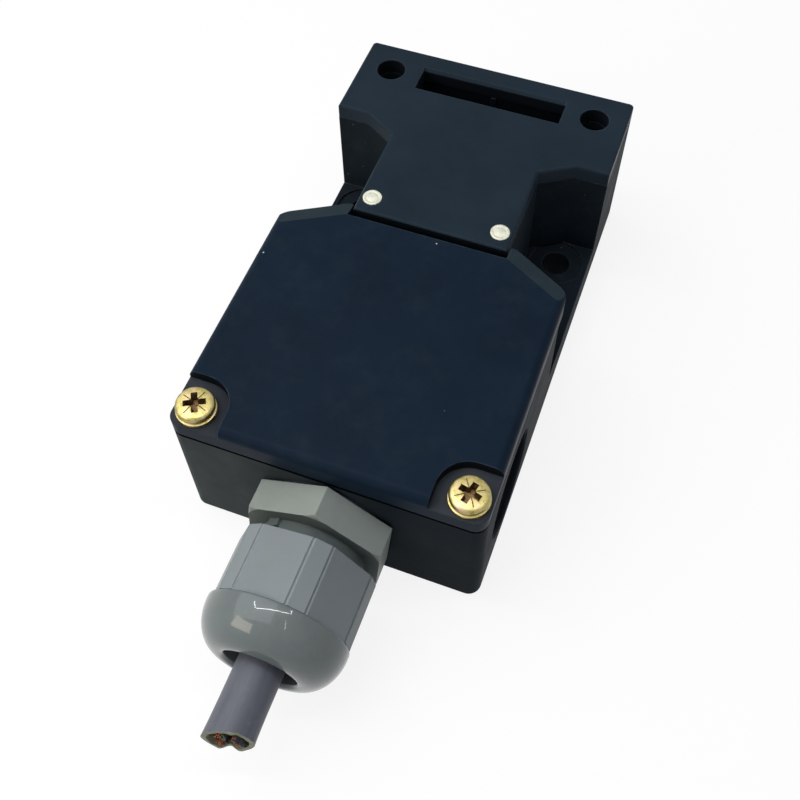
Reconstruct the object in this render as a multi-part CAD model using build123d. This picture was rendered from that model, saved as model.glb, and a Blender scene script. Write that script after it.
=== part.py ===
from build123d import *
import math
import os

# Tongue interlock switch for a machine guard door, in millimetres.
# The origin lies midway between the two round fixing holes, on the back face.
# +Y runs to the head end, where the tongue goes in, and +Z out of the front.

# Outside of the housing
HOUSING_WIDTH = 52.0
HOUSING_LENGTH = 90.0
HOUSING_HEIGHT = 30.0
HEAD_MARGIN = 6.5
CABLE_CORNER_RADIUS = 2.2
HEAD_CORNER_RADIUS = 0.8
BACK_EDGE_CHAMFER = 0.4
COVER_DEPTH = 5.0
NECK_WIDTH = 28.0
SHOULDER_Y = -43.5
RECESS_FLOOR_Z = 8.8
RECESS_END_Y = -12.3
FLARE_WIDTH = 40.0
FLARE_DEPTH = 3.7

# Fixing holes
HOLE_SPACING = 40.0
HOLE_DIAMETER = 5.3
LOWER_HOLE_SETBACK = 17.5
SPOTFACE_DIAMETER = 10.2
SPOTFACE_DEPTH = 0.5

# Head cover plate and its rivets
PLATE_THICKNESS = 3.0
PLATE_EDGE_CHAMFER = 0.3
PLATE_CABLE_EDGE_Y = -34.9
RIVET_SPACING = 23.4
RIVET_Y = -31.5
RIVET_HEAD_DIAMETER = 3.4
RIVET_SHANK_DIAMETER = 2.2
RIVET_DEPTH = 9.0
RIVET_END_GAP = 0.5
RIVET_PROUD = 0.15
RIVET_FIT = 0.02

# Tongue slots
SLOT_LENGTH = 28.0
SLOT_WIDTH = 5.4
SLOT_Y = -0.4
SLOT_LEAD_IN = 0.6
GUIDE_RIB_WIDTH = 1.0
GUIDE_RIB_HEIGHT = 0.5

# Inside of the head
HEAD_END_WALL = 3.9
HEAD_FLOOR = 3.0
ROTOR_ROOM_WIDTH = 28.6
ROTOR_ROOM_NARROW_WIDTH = 24.0
ROTOR_ROOM_STEP_Y = -13.4
NECK_ROOM_WIDTH = 18.0
BULKHEAD_THICKNESS = 4.5
CHAMBER_END_LEDGE = 1.5
DISC_GAP = 0.45

# Rotor, turned by the tongue
ROTOR_Y = -7.5
ROTOR_Z = 14.0
ROTOR_TURN = 60.0
DRIVER_RADIUS = 9.5
DRIVER_INNER_X = 6.0
DRIVER_OUTER_X = 10.5
NOTCH_WIDTH = 3.4
NOTCH_ROOT_RADIUS = 5.2
FRONT_NOTCH_ANGLE = 41.0
CAM_HALF_WIDTH = 3.0
CAM_HIGH_RADIUS = 9.3
CAM_BACK_RADIUS = 9.0
CAM_LEAD_ANGLE = 8.0
CAM_TAIL_ANGLE = 12.0
CAM_STEPS = 9
CAM_BACK_END_ANGLE = -60.0
HUB_RADIUS = 4.2
WEB_RADIUS = 5.4
HUB_END_GAP = 0.15
SHAFT_DIAMETER = 4.0
SHAFT_FIT = 0.05
SHAFT_SEAT_DEPTH = 2.3
SHAFT_END_GAP = 0.2
SHAFT_CHAMFER = 0.3
POST_GAP = 0.15

# Plunger that the cam pushes back
TRAVEL = 3.0
CAM_GAP = 0.15
SLIDE_FIT = 0.1
NOSE_LENGTH = 3.4
NOSE_WIDTH = 5.2
NOSE_TIP_RADIUS = 1.0
NOSE_ROOT_HEIGHT = 6.0
FLANGE_THICKNESS = 5.0
FLANGE_HEIGHT = 12.0
FLANGE_CORNER_RADIUS = 1.0
ROD_DIAMETER = 5.0
ROD_TIP_DIAMETER = 3.6
ROD_TIP_LENGTH = 3.2
PLUNGER_SPRING_WIRE = 0.9
PLUNGER_SPRING_COIL = 7.4
PLUNGER_SPRING_TURNS = 4.0
PLUNGER_SPRING_SIDES = 6

# Wiring chamber
CHAMBER_FLOOR = 2.5
CHAMBER_WALL = 3.5
CHAMBER_TAPER_WALL = 3.0

# Contact block
BLOCK_WIDTH = 37.0
BLOCK_LENGTH = 22.4
BLOCK_TOP_Z = 20.0
BLOCK_NEAR_WALL = 1.3
BLOCK_FAR_WALL = 1.2
BLOCK_FIT = 0.1
BLOCK_TAPER_GAP = 0.4
BLOCK_SIDE_WALL = 6.7
LID_THICKNESS = 1.9
LID_LEDGE = 0.8
CARRIER_WIDTH = 8.0
CARRIER_HEIGHT = 8.0
CARRIER_END_WEB = 1.1
CARRIER_END_GAP = 0.3
CONTACT_PITCH = 8.0
CONTACT_GAP_CLOSED = 0.15
BRIDGE_END_GAP = 0.8
BRIDGE_HEIGHT = 4.0
BRIDGE_CORNER_RADIUS = 0.8
STRIP_THICKNESS = 0.8
CONTACT_TIP_DIAMETER = 2.8
CONTACT_TIP_HEIGHT = 0.5
CONTACT_TIP_SETBACK = 1.6
CONTACT_SPRING_WIRE = 0.5
CONTACT_SPRING_COIL = 3.4
CONTACT_SPRING_TURNS = 2.5
CONTACT_SPRING_SIDES = 4
CONTACT_SPRING_LENGTH = 2.15
STRIP_INNER_SETBACK = 3.4
STRIP_LEG_HEIGHT = 7.0
TAB_WIDTH = 5.0
TAB_LENGTH = 5.8
TAB_SETBACK = 3.2
BARRIER_THICKNESS = 1.2
BARRIER_HEIGHT = 2.8
BARRIER_GAP = 0.2
TERMINAL_SCREW_DIAMETER = 3.0
TERMINAL_HEAD_DIAMETER = 5.2
TERMINAL_HEAD_HEIGHT = 1.9
TERMINAL_HEAD_CHAMFER = 0.3
TERMINAL_SLOT_WIDTH = 0.8
TERMINAL_SLOT_DEPTH = 0.9
TERMINAL_HOLE_DEPTH = 9.0
TERMINAL_END_GAP = 0.5
WASHER_SIZE = 5.0
WASHER_THICKNESS = 0.8
THREAD_FIT = 0.05
LOCATING_RIB_HEIGHT = 3.0
LOCATING_RIB_THICKNESS = 1.4
LOCATING_RIB_WIDTH = 4.0

# Wiring cover, its gasket and screws
COVER_SEAM = 0.4
COVER_TOP_THICKNESS = 2.4
COVER_FAR_Y = -36.5
COVER_EAR_Y = -33.4
COVER_EAR_GAP = 0.4
COVER_EAR_TIP = 1.0
COVER_EAR_RADIUS = 0.3
COVER_SIDE_END_RADIUS = 3.5
COVER_SIDE_END_Y = -39.4
COVER_EDGE_RADIUS = 1.6
COVER_RIM_WIDTH = 3.2
FACET_INNER_SIDE_Y = -42.8
FACET_INNER_EAR_Y = -36.9
FACET_EAR_INSET = 1.2
FACET_DROP = 0.9
HOLLOW_CORNER_RADIUS = 1.0
HOLLOW_FACET_GAP = 1.5
HOLLOW_EAR_GAP = 2.2
HOLLOW_TAPER = 6.0
HOLLOW_BOSS_GAP = 1.0
COVER_LIP_HEIGHT = 1.8
COVER_LIP_THICKNESS = 1.4
COVER_LIP_FIT = 0.3
POCKET_DEPTH = 2.0
POCKET_WIDTH = 9.0
POCKET_LENGTH = 8.8
POCKET_CORNER_RADIUS = 5.2
COVER_SCREW_SIDE_SETBACK = 3.7
COVER_SCREW_SETBACK = 3.6
COVER_SCREW_DIAMETER = 2.9
COVER_SCREW_HEAD_DIAMETER = 6.6
COVER_SCREW_HEAD_HEIGHT = 2.4
COVER_SCREW_HEAD_RIM = 0.25
COVER_SCREW_SIDE_HEIGHT = 0.6
COVER_SCREW_CROWN_HEIGHT = 0.5
COVER_SCREW_CROWN_DIAMETER = 3.8
COVER_SCREW_REACH = 9.5
COVER_SCREW_HOLE = 3.4
COVER_SCREW_END_GAP = 0.5
COVER_SCREW_RUN_OUT = 0.25
DRIVE_LENGTH = 3.6
DRIVE_WIDTH = 1.0
DRIVE_DEPTH = 1.5
INSERT_DIAMETER = 4.8
INSERT_LENGTH = 7.0
INSERT_FIT = 0.02
BOSS_DIAMETER = 7.6
GASKET_INSET = 1.0
GASKET_STEP_GAP = 0.2

# Cable entries
ENTRY_DIAMETER = 18.6
ENTRY_LEAD_IN = 0.35
ENTRY_RELIEF = 0.5
SIDE_ENTRY_SETBACK = 15.9
SIDE_ENTRY_Z = 12.4
GLAND_Z = 12.8

# Cable gland
GLAND_HEX_ACROSS_CORNERS = 25.4
GLAND_HEX_THICKNESS = 5.3
GLAND_HEX_TURN = -5.5
GLAND_HEX_BEVEL = 0.9
GLAND_SEAL_THICKNESS = 0.5
GLAND_SEAL_DIAMETER = 21.6
GLAND_THREAD_FIT = 0.1
GLAND_THREAD_LENGTH = 8.0
GLAND_THREAD_CHAMFER = 0.6
GLAND_NECK_DIAMETER = 17.2
GLAND_NECK_LENGTH = 11.2
GLAND_STOP_WIDTH = 2.4
GLAND_STOP_LENGTH = 1.3
GLAND_STOP_HEIGHT = 0.5
GLAND_STOP_TURN = 40.0
GLAND_FINGER_LENGTH = 4.6
GLAND_FINGER_TIP_DIAMETER = 14.0
GLAND_FINGER_SLOT = 0.9
GLAND_FINGER_COUNT = 6
GLAND_BORE_DIAMETER = 9.6
GLAND_SEAT_DIAMETER = 12.4
GLAND_INSERT_FIT = 0.05
GLAND_INSERT_GAP = 0.1
GLAND_INSERT_LENGTH = 14.0
GLAND_INSERT_OUTER_BEVEL = 0.9
GLAND_INSERT_MOUTH_BEVEL = 1.2
GLAND_SEAT_SETBACK = 3.6
NUT_GAP = 2.5
NUT_GRIP_LENGTH = 11.0
NUT_DOME_LENGTH = 7.2
NUT_FLAT_RADIUS = 10.9
NUT_FLAT_WIDTH = 8.8
NUT_TURN = 10.5
NUT_SIDE_COUNT = 6
NUT_DOME_RADIUS = 11.7
NUT_DOME_LAND = 0.5
NUT_DOME_RISE = 0.3
NUT_DOME_STEPS = 5
NUT_MOUTH_RIM = 0.7
NUT_MOUTH_DIAMETER = 11.8
NUT_GROOVE_WIDTH = 0.4
NUT_THREAD_FIT = 0.1
NUT_LEAD_IN = 0.4

# Cable stub
CABLE_DIAMETER = 7.5
CABLE_JACKET_WALL = 0.75
CABLE_FREE_LENGTH = 11.2
CABLE_INSIDE_LENGTH = 0.5
CORE_COUNT = 4
CORE_DIAMETER = 2.3
CORE_RING_RADIUS = 1.7
CORE_STRIPPED_LENGTH = 3.0
CONDUCTOR_DIAMETER = 1.3
CONDUCTOR_FIT = 0.02
CONDUCTOR_BARE_LENGTH = 1.5
CUT_END_STAGGER = 0.5

# How far a cut or a joined piece runs past a face
OVERRUN = 1.0

# Places that follow from the sizes above
HEAD_Y = HEAD_MARGIN
CABLE_Y = HEAD_MARGIN - HOUSING_LENGTH
HALF_WIDTH = HOUSING_WIDTH / 2
NECK_X = NECK_WIDTH / 2
NECK_START_Y = SHOULDER_Y + HALF_WIDTH - NECK_X
FLARE_Y = RECESS_END_Y - FLARE_DEPTH
PLATE_Z = HOUSING_HEIGHT - PLATE_THICKNESS
RIM_Z = HOUSING_HEIGHT - COVER_DEPTH
HOLE_X = HOLE_SPACING / 2
ROOM_END_Y = HEAD_Y - HEAD_END_WALL
ROOM_START_Y = ROTOR_Y - DRIVER_RADIUS - DISC_GAP
SLOT_NEAR_Y = SLOT_Y - SLOT_WIDTH / 2
SLOT_FAR_Y = SLOT_Y + SLOT_WIDTH / 2
SLOT_ARM = SLOT_Y - ROTOR_Y
END_SLOT_Z = ROTOR_Z - SLOT_ARM
NOSE_TIP_Y = ROTOR_Y - CAM_HIGH_RADIUS - CAM_GAP
FLANGE_FRONT_Y = NOSE_TIP_Y - NOSE_LENGTH
FLANGE_BACK_Y = FLANGE_FRONT_Y - FLANGE_THICKNESS
CHAMBER_FAR_Y = COVER_FAR_Y - CHAMBER_END_LEDGE
BULKHEAD_FACE_Y = CHAMBER_FAR_Y + BULKHEAD_THICKNESS
BULKHEAD_STEP_Y = COVER_FAR_Y + COVER_SEAM
CHAMBER_NEAR_Y = CABLE_Y + CHAMBER_WALL
CHAMBER_X = HALF_WIDTH - CHAMBER_WALL
BLOCK_FAR_Y = CHAMBER_FAR_Y - BLOCK_FIT
BLOCK_NEAR_Y = BLOCK_FAR_Y - BLOCK_LENGTH
BLOCK_ROOM_NEAR_Y = BLOCK_NEAR_Y + BLOCK_NEAR_WALL
BLOCK_ROOM_FAR_Y = BLOCK_FAR_Y - BLOCK_FAR_WALL
CARRIER_LOW_Z = ROTOR_Z - CARRIER_HEIGHT / 2
CARRIER_HIGH_Z = ROTOR_Z + CARRIER_HEIGHT / 2
BLOCK_ROOM_FLOOR_Z = CARRIER_LOW_Z - SLIDE_FIT
LID_LOW_Z = BLOCK_TOP_Z - LID_THICKNESS
BLOCK_ROOM_WIDTH = BLOCK_WIDTH - 2 * BLOCK_SIDE_WALL
BRIDGE_LENGTH = BLOCK_ROOM_WIDTH - 2 * BRIDGE_END_GAP
CONTACT_TIP_X = BRIDGE_LENGTH / 2 - CONTACT_TIP_SETBACK
STRIP_INNER_X = BRIDGE_LENGTH / 2 - STRIP_INNER_SETBACK
CARRIER_NEAR_Y = BLOCK_ROOM_NEAR_Y + CARRIER_END_GAP
CARRIER_FAR_Y = BLOCK_ROOM_FAR_Y - TRAVEL - CARRIER_END_GAP
CONTACT_STACK = STRIP_THICKNESS + 2 * CONTACT_TIP_HEIGHT + TRAVEL + CONTACT_GAP_CLOSED
FIRST_BRIDGE_Y = CARRIER_NEAR_Y + CARRIER_END_WEB + CONTACT_SPRING_LENGTH
BRIDGE_YS = [FIRST_BRIDGE_Y, FIRST_BRIDGE_Y + CONTACT_PITCH]
STRIP_YS = [y + CONTACT_STACK + STRIP_THICKNESS / 2 for y in BRIDGE_YS]
TAB_X = BLOCK_WIDTH / 2 - TAB_SETBACK
COVER_LOW_Z = RIM_Z + COVER_SEAM
COVER_SCREW_X = HALF_WIDTH - COVER_SCREW_SIDE_SETBACK
COVER_SCREW_Y = CABLE_Y + COVER_SCREW_SETBACK
POCKET_FLOOR_Z = HOUSING_HEIGHT - POCKET_DEPTH
SIDE_ENTRY_Y = CABLE_Y + SIDE_ENTRY_SETBACK
HEX_BACK_Y = CABLE_Y - GLAND_SEAL_THICKNESS
HEX_FRONT_Y = HEX_BACK_Y - GLAND_HEX_THICKNESS
NUT_BACK_Y = HEX_FRONT_Y - NUT_GAP
DOME_START_Y = NUT_BACK_Y - NUT_GRIP_LENGTH
MOUTH_Y = DOME_START_Y - NUT_DOME_LENGTH
SEAT_Y = HEX_FRONT_Y - GLAND_SEAT_SETBACK
INSERT_END_Y = SEAT_Y - GLAND_INSERT_GAP - GLAND_INSERT_LENGTH
CABLE_END_Y = MOUTH_Y - CABLE_FREE_LENGTH
JACKET_INSIDE_Y = CABLE_Y + GLAND_THREAD_LENGTH + CABLE_INSIDE_LENGTH
MIRROR_SIDES = (-1, 1)


def block(x_low, x_high, y_low, y_high, z_low, z_high):
    """A box between two corners."""
    centre = Pos((x_low + x_high) / 2, (y_low + y_high) / 2, (z_low + z_high) / 2)
    return centre * Box(x_high - x_low, y_high - y_low, z_high - z_low)


def bar(start, direction, radius, length):
    """A round bar from a start point along a direction."""
    return extrude(Plane(origin=start, z_dir=direction) * Circle(radius), amount=length)


def tube(start, direction, outer_radius, inner_radius, length):
    """A round tube from a start point along a direction."""
    ring = Circle(outer_radius) - Circle(inner_radius)
    return extrude(Plane(origin=start, z_dir=direction) * ring, amount=length)


def prism(points, z_low, z_high):
    """An upright prism on an outline, each point with the radius of its corner."""
    corners = [(x, y) for x, y, _ in points]
    radii = [radius for _, _, radius in points]
    if max(radii) > 0:
        outline = FilletPolyline(*corners, radius=radii, close=True)
    else:
        outline = Polyline(*corners, close=True)
    return Pos(0, 0, z_low) * extrude(make_face(outline), amount=z_high - z_low)


def both_sides(points):
    """The right-hand half of an outline, from the cable end on, and its mirror image."""
    return points + [(-x, y, radius) for x, y, radius in reversed(points)]


def turned_about_y(points, z):
    """A solid of revolution about a line along Y at height z, from radius and y points."""
    return Pos(0, 0, z) * revolve(make_face(Polyline(*points, close=True)), Axis.Y)


def coil_spring(start, direction, length, coil_diameter, wire_diameter, turns, sides):
    """A helical spring of many-sided wire that stays between its two end planes."""
    wire_radius = wire_diameter / 2
    height = length - wire_diameter
    radius = coil_diameter / 2
    path = Helix(pitch=height / turns, height=height, radius=radius)
    section = Plane(origin=path @ 0, z_dir=path % 0) * RegularPolygon(wire_radius, sides)
    wire = sweep(section, path=path, is_frenet=True)
    return Plane(origin=start, z_dir=direction) * (Pos(0, 0, wire_radius) * wire)


def head_outline(y_low):
    """Plan of the neck and the head, down to a given y."""
    return both_sides([
        (NECK_X, y_low, 0),
        (NECK_X, FLARE_Y, 0),
        (FLARE_WIDTH / 2, RECESS_END_Y, 0),
        (HALF_WIDTH, RECESS_END_Y, 0),
        (HALF_WIDTH, HEAD_Y, HEAD_CORNER_RADIUS),
    ])


def chamber_outline(inset):
    """Plan of the wiring chamber, drawn in by an inset."""
    taper_sum = HALF_WIDTH + SHOULDER_Y - CHAMBER_TAPER_WALL * math.sqrt(2)
    half = CHAMBER_X - inset
    near = CHAMBER_NEAR_Y + inset
    far = CHAMBER_FAR_Y - inset
    line = taper_sum - inset * math.sqrt(2)
    return both_sides([(half, near, 0), (half, line - half, 0), (line - far, far, 0)])


def screw_columns(radius, z_low, z_high):
    """The two upright cylinders on the axes of the cover screws."""
    columns = [
        bar((side * COVER_SCREW_X, COVER_SCREW_Y, z_low), (0, 0, 1), radius, z_high - z_low)
        for side in MIRROR_SIDES
    ]
    return columns[0] + columns[1]


def housing_shell():
    """The housing from outside, still solid."""
    plan = both_sides([
        (HALF_WIDTH, CABLE_Y, CABLE_CORNER_RADIUS),
        (HALF_WIDTH, HEAD_Y, HEAD_CORNER_RADIUS),
    ])
    base = prism(plan, 0, RECESS_FLOOR_Z)
    base = chamfer(base.faces().sort_by(Axis.Z)[0].edges(), BACK_EDGE_CHAMFER)
    wiring_end = prism(
        both_sides([
            (HALF_WIDTH, CABLE_Y, CABLE_CORNER_RADIUS),
            (HALF_WIDTH, SHOULDER_Y, 0),
            (NECK_X, NECK_START_Y, 0),
        ]),
        RECESS_FLOOR_Z,
        RIM_Z,
    )
    head = prism(head_outline(BULKHEAD_STEP_Y), RECESS_FLOOR_Z, PLATE_Z)
    return base + wiring_end + head


def wiring_room():
    """The space for the wires, with the screw bosses left standing in it."""
    room = prism(chamber_outline(0), CHAMBER_FLOOR, RIM_Z)
    return room - screw_columns(BOSS_DIAMETER / 2, 0, RIM_Z)


def mechanism_room():
    """The space for the rotor, the plunger and the rotor's shaft."""
    top = PLATE_Z
    wide = ROTOR_ROOM_WIDTH / 2
    narrow = ROTOR_ROOM_NARROW_WIDTH / 2
    neck = NECK_ROOM_WIDTH / 2
    seat_x = wide + SHAFT_SEAT_DEPTH
    seat_radius = SHAFT_DIAMETER / 2 + SHAFT_FIT
    room = block(-wide, wide, ROTOR_ROOM_STEP_Y, ROOM_END_Y, HEAD_FLOOR, top)
    room += block(-narrow, narrow, ROOM_START_Y, ROTOR_ROOM_STEP_Y, HEAD_FLOOR, top)
    room += block(-neck, neck, BULKHEAD_FACE_Y, ROOM_START_Y, HEAD_FLOOR, top)
    room += bar((-seat_x, ROTOR_Y, ROTOR_Z), (1, 0, 0), seat_radius, 2 * seat_x)
    room += block(-seat_x, seat_x, ROTOR_Y - seat_radius, ROTOR_Y + seat_radius, ROTOR_Z, top)
    bore_length = BULKHEAD_FACE_Y - CHAMBER_FAR_Y
    bore_radius = ROD_DIAMETER / 2 + SLIDE_FIT
    room += bar((0, CHAMBER_FAR_Y, ROTOR_Z), (0, 1, 0), bore_radius, bore_length)
    rib_half = GUIDE_RIB_WIDTH / 2
    rib_y = ROOM_END_Y - GUIDE_RIB_HEIGHT
    rib_low = END_SLOT_Z + SLOT_WIDTH / 2 + SLOT_LEAD_IN
    return room - block(-rib_half, rib_half, rib_y, ROOM_END_Y, rib_low, top)


def end_slot():
    """The second tongue slot, in the end face of the head, with its lead-in."""
    half = SLOT_LENGTH / 2
    low = END_SLOT_Z - SLOT_WIDTH / 2
    high = END_SLOT_Z + SLOT_WIDTH / 2
    slot = block(-half, half, ROOM_END_Y, HEAD_Y, low, high)
    profile = Polyline(
        (HEAD_Y - SLOT_LEAD_IN, low),
        (HEAD_Y, low - SLOT_LEAD_IN),
        (HEAD_Y, high + SLOT_LEAD_IN),
        (HEAD_Y - SLOT_LEAD_IN, high),
        close=True,
    )
    lead_in = extrude(Plane.YZ.offset(-half) * make_face(profile), amount=SLOT_LENGTH)
    return slot + lead_in


def cable_entries():
    """The front entry for the gland and the two side entries, each with a lead-in.

    Behind the side walls the bosses are cut back a little, for the end of a gland.
    """
    radius = ENTRY_DIAMETER / 2
    wide = radius + ENTRY_LEAD_IN
    front = turned_about_y(
        [
            (0, CABLE_Y),
            (wide, CABLE_Y),
            (radius, CABLE_Y + ENTRY_LEAD_IN),
            (radius, CHAMBER_NEAR_Y),
            (0, CHAMBER_NEAR_Y),
        ],
        GLAND_Z,
    )
    centre = (-HALF_WIDTH, SIDE_ENTRY_Y, SIDE_ENTRY_Z)
    sides = bar(centre, (1, 0, 0), radius, HOUSING_WIDTH)
    behind = (-CHAMBER_X, SIDE_ENTRY_Y, SIDE_ENTRY_Z)
    sides += bar(behind, (1, 0, 0), radius + ENTRY_RELIEF, 2 * CHAMBER_X)
    for side in MIRROR_SIDES:
        rim = Plane(
            origin=(side * HALF_WIDTH, SIDE_ENTRY_Y, SIDE_ENTRY_Z), z_dir=(-side, 0, 0)
        )
        sides += loft([rim * Circle(wide), rim.offset(ENTRY_LEAD_IN) * Circle(radius)])
    return front + sides


def housing():
    """The moulded housing: wiring chamber, bulkhead, neck and head in one piece."""
    body = housing_shell() - wiring_room() - mechanism_room() - end_slot() - cable_entries()
    hole_radius = HOLE_DIAMETER / 2
    shank_radius = RIVET_SHANK_DIAMETER / 2 + RIVET_FIT
    spotface_z = RECESS_FLOOR_Z - SPOTFACE_DEPTH
    insert_radius = INSERT_DIAMETER / 2
    for side in MIRROR_SIDES:
        x = side * HOLE_X
        body -= bar((x, 0, 0), (0, 0, 1), hole_radius, PLATE_Z)
        body -= bar((x, -LOWER_HOLE_SETBACK, 0), (0, 0, 1), hole_radius, RECESS_FLOOR_Z)
        spotface = (x, -LOWER_HOLE_SETBACK, spotface_z)
        body -= bar(spotface, (0, 0, 1), SPOTFACE_DIAMETER / 2, SPOTFACE_DEPTH)
        rivet_top = (side * RIVET_SPACING / 2, RIVET_Y, PLATE_Z)
        body -= bar(rivet_top, (0, 0, -1), shank_radius, RIVET_DEPTH)
    body -= screw_columns(insert_radius, RIM_Z - INSERT_LENGTH, RIM_Z)
    shank_hole_radius = COVER_SCREW_DIAMETER / 2 + COVER_SCREW_RUN_OUT
    shank_hole_low = RIM_Z - COVER_SCREW_REACH - COVER_SCREW_END_GAP
    body -= screw_columns(shank_hole_radius, shank_hole_low, RIM_Z)
    rib_y = BLOCK_NEAR_Y - BLOCK_FIT - LOCATING_RIB_THICKNESS
    for side in MIRROR_SIDES:
        rib_x = side * BLOCK_WIDTH / 4
        body += block(
            rib_x - LOCATING_RIB_WIDTH / 2,
            rib_x + LOCATING_RIB_WIDTH / 2,
            rib_y,
            rib_y + LOCATING_RIB_THICKNESS,
            CHAMBER_FLOOR,
            CHAMBER_FLOOR + LOCATING_RIB_HEIGHT,
        )
    return body


def head_cover_plate():
    """The plate over the mechanism, with the front slot and the posts over the shaft."""
    plate = prism(head_outline(PLATE_CABLE_EDGE_Y), PLATE_Z, HOUSING_HEIGHT)
    plate = chamfer(plate.faces().sort_by(Axis.Z)[-1].edges(), PLATE_EDGE_CHAMFER)
    half = SLOT_LENGTH / 2
    plate -= block(-half, half, SLOT_NEAR_Y, SLOT_FAR_Y, PLATE_Z, HOUSING_HEIGHT)
    profile = Polyline(
        (SLOT_FAR_Y, HOUSING_HEIGHT - SLOT_LEAD_IN),
        (SLOT_FAR_Y + SLOT_LEAD_IN, HOUSING_HEIGHT),
        (SLOT_NEAR_Y, HOUSING_HEIGHT),
        (SLOT_NEAR_Y, HOUSING_HEIGHT - SLOT_LEAD_IN),
        close=True,
    )
    plate -= extrude(Plane.YZ.offset(-half) * make_face(profile), amount=SLOT_LENGTH)
    head_radius = RIVET_HEAD_DIAMETER / 2 + RIVET_FIT
    post_radius = SHAFT_DIAMETER / 2
    inner_x = ROTOR_ROOM_WIDTH / 2 + POST_GAP
    outer_x = ROTOR_ROOM_WIDTH / 2 + SHAFT_SEAT_DEPTH - POST_GAP
    for side in MIRROR_SIDES:
        plate -= bar((side * HOLE_X, 0, PLATE_Z), (0, 0, 1), HOLE_DIAMETER / 2, PLATE_THICKNESS)
        rivet = (side * RIVET_SPACING / 2, RIVET_Y, PLATE_Z)
        plate -= bar(rivet, (0, 0, 1), head_radius, PLATE_THICKNESS)
        plate += block(
            min(side * inner_x, side * outer_x),
            max(side * inner_x, side * outer_x),
            ROTOR_Y - post_radius,
            ROTOR_Y + post_radius,
            ROTOR_Z + post_radius + POST_GAP,
            PLATE_Z,
        )
    return plate


def plate_rivets():
    """The two drive rivets that hold the plate over the neck."""
    rivets = []
    head_radius = RIVET_HEAD_DIAMETER / 2
    for side in MIRROR_SIDES:
        x = side * RIVET_SPACING / 2
        rivet = bar((x, RIVET_Y, PLATE_Z), (0, 0, 1), head_radius, PLATE_THICKNESS + RIVET_PROUD)
        rivet = chamfer(rivet.edges().sort_by(Axis.Z)[-1], RIVET_PROUD)
        shank_length = RIVET_DEPTH - RIVET_END_GAP
        rivet += bar((x, RIVET_Y, PLATE_Z), (0, 0, -1), RIVET_SHANK_DIAMETER / 2, shank_length)
        rivets.append(rivet)
    return Compound(children=rivets)


def cam_outline():
    """Plan of the cam: a spiral that falls by the travel over the turn, and a round back."""
    spiral = []
    start = -CAM_LEAD_ANGLE
    sweep_angle = CAM_LEAD_ANGLE + ROTOR_TURN + CAM_TAIL_ANGLE
    for step in range(CAM_STEPS):
        angle = start + sweep_angle * step / (CAM_STEPS - 1)
        radius = CAM_HIGH_RADIUS - TRAVEL * angle / ROTOR_TURN
        turn = math.radians(180 + angle)
        spiral.append((radius * math.cos(turn), radius * math.sin(turn)))
    back_from = math.radians(180 - CAM_LEAD_ANGLE)
    back_to = math.radians(CAM_BACK_END_ANGLE)
    middle = (back_from + back_to) / 2
    back = [
        (CAM_BACK_RADIUS * math.cos(angle), CAM_BACK_RADIUS * math.sin(angle))
        for angle in (back_from, middle, back_to)
    ]
    edges = [
        Spline(*spiral),
        Line(spiral[-1], back[2]),
        ThreePointArc(back[2], back[1], back[0]),
        Line(back[0], spiral[0]),
    ]
    return make_face(edges)


def cam_rotor():
    """The rotor: two notched driver discs that the tongue turns, a hub and the cam."""
    across = Plane(origin=(0, ROTOR_Y, ROTOR_Z), x_dir=(0, 1, 0), z_dir=(1, 0, 0))
    hub_x = ROTOR_ROOM_WIDTH / 2 - HUB_END_GAP
    disc_width = DRIVER_OUTER_X - DRIVER_INNER_X
    rotor = extrude(across.offset(-hub_x) * Circle(HUB_RADIUS), amount=2 * hub_x)
    web_plane = across.offset(-DRIVER_INNER_X)
    rotor += extrude(web_plane * Circle(WEB_RADIUS), amount=2 * DRIVER_INNER_X)
    cam_plane = across.offset(-CAM_HALF_WIDTH)
    rotor += extrude(cam_plane * cam_outline(), amount=2 * CAM_HALF_WIDTH)
    depth = DRIVER_RADIUS + OVERRUN - NOTCH_ROOT_RADIUS
    centre_radius = NOTCH_ROOT_RADIUS + depth / 2
    disc = Circle(DRIVER_RADIUS)
    for angle in (FRONT_NOTCH_ANGLE, FRONT_NOTCH_ANGLE - 90):
        disc -= Rot(0, 0, angle) * Pos(centre_radius, 0) * Rectangle(depth, NOTCH_WIDTH)
    for x in (-DRIVER_OUTER_X, DRIVER_INNER_X):
        rotor += extrude(across.offset(x) * disc, amount=disc_width)
    bore_radius = SHAFT_DIAMETER / 2 + SHAFT_FIT
    return rotor - bar((-hub_x, ROTOR_Y, ROTOR_Z), (1, 0, 0), bore_radius, 2 * hub_x)


def rotor_shaft():
    """The steel pin that the rotor turns on, held in the housing's side walls."""
    half = ROTOR_ROOM_WIDTH / 2 + SHAFT_SEAT_DEPTH - SHAFT_END_GAP
    pin = bar((-half, ROTOR_Y, ROTOR_Z), (1, 0, 0), SHAFT_DIAMETER / 2, 2 * half)
    return chamfer(pin.edges().filter_by(GeomType.CIRCLE), SHAFT_CHAMFER)


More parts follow.
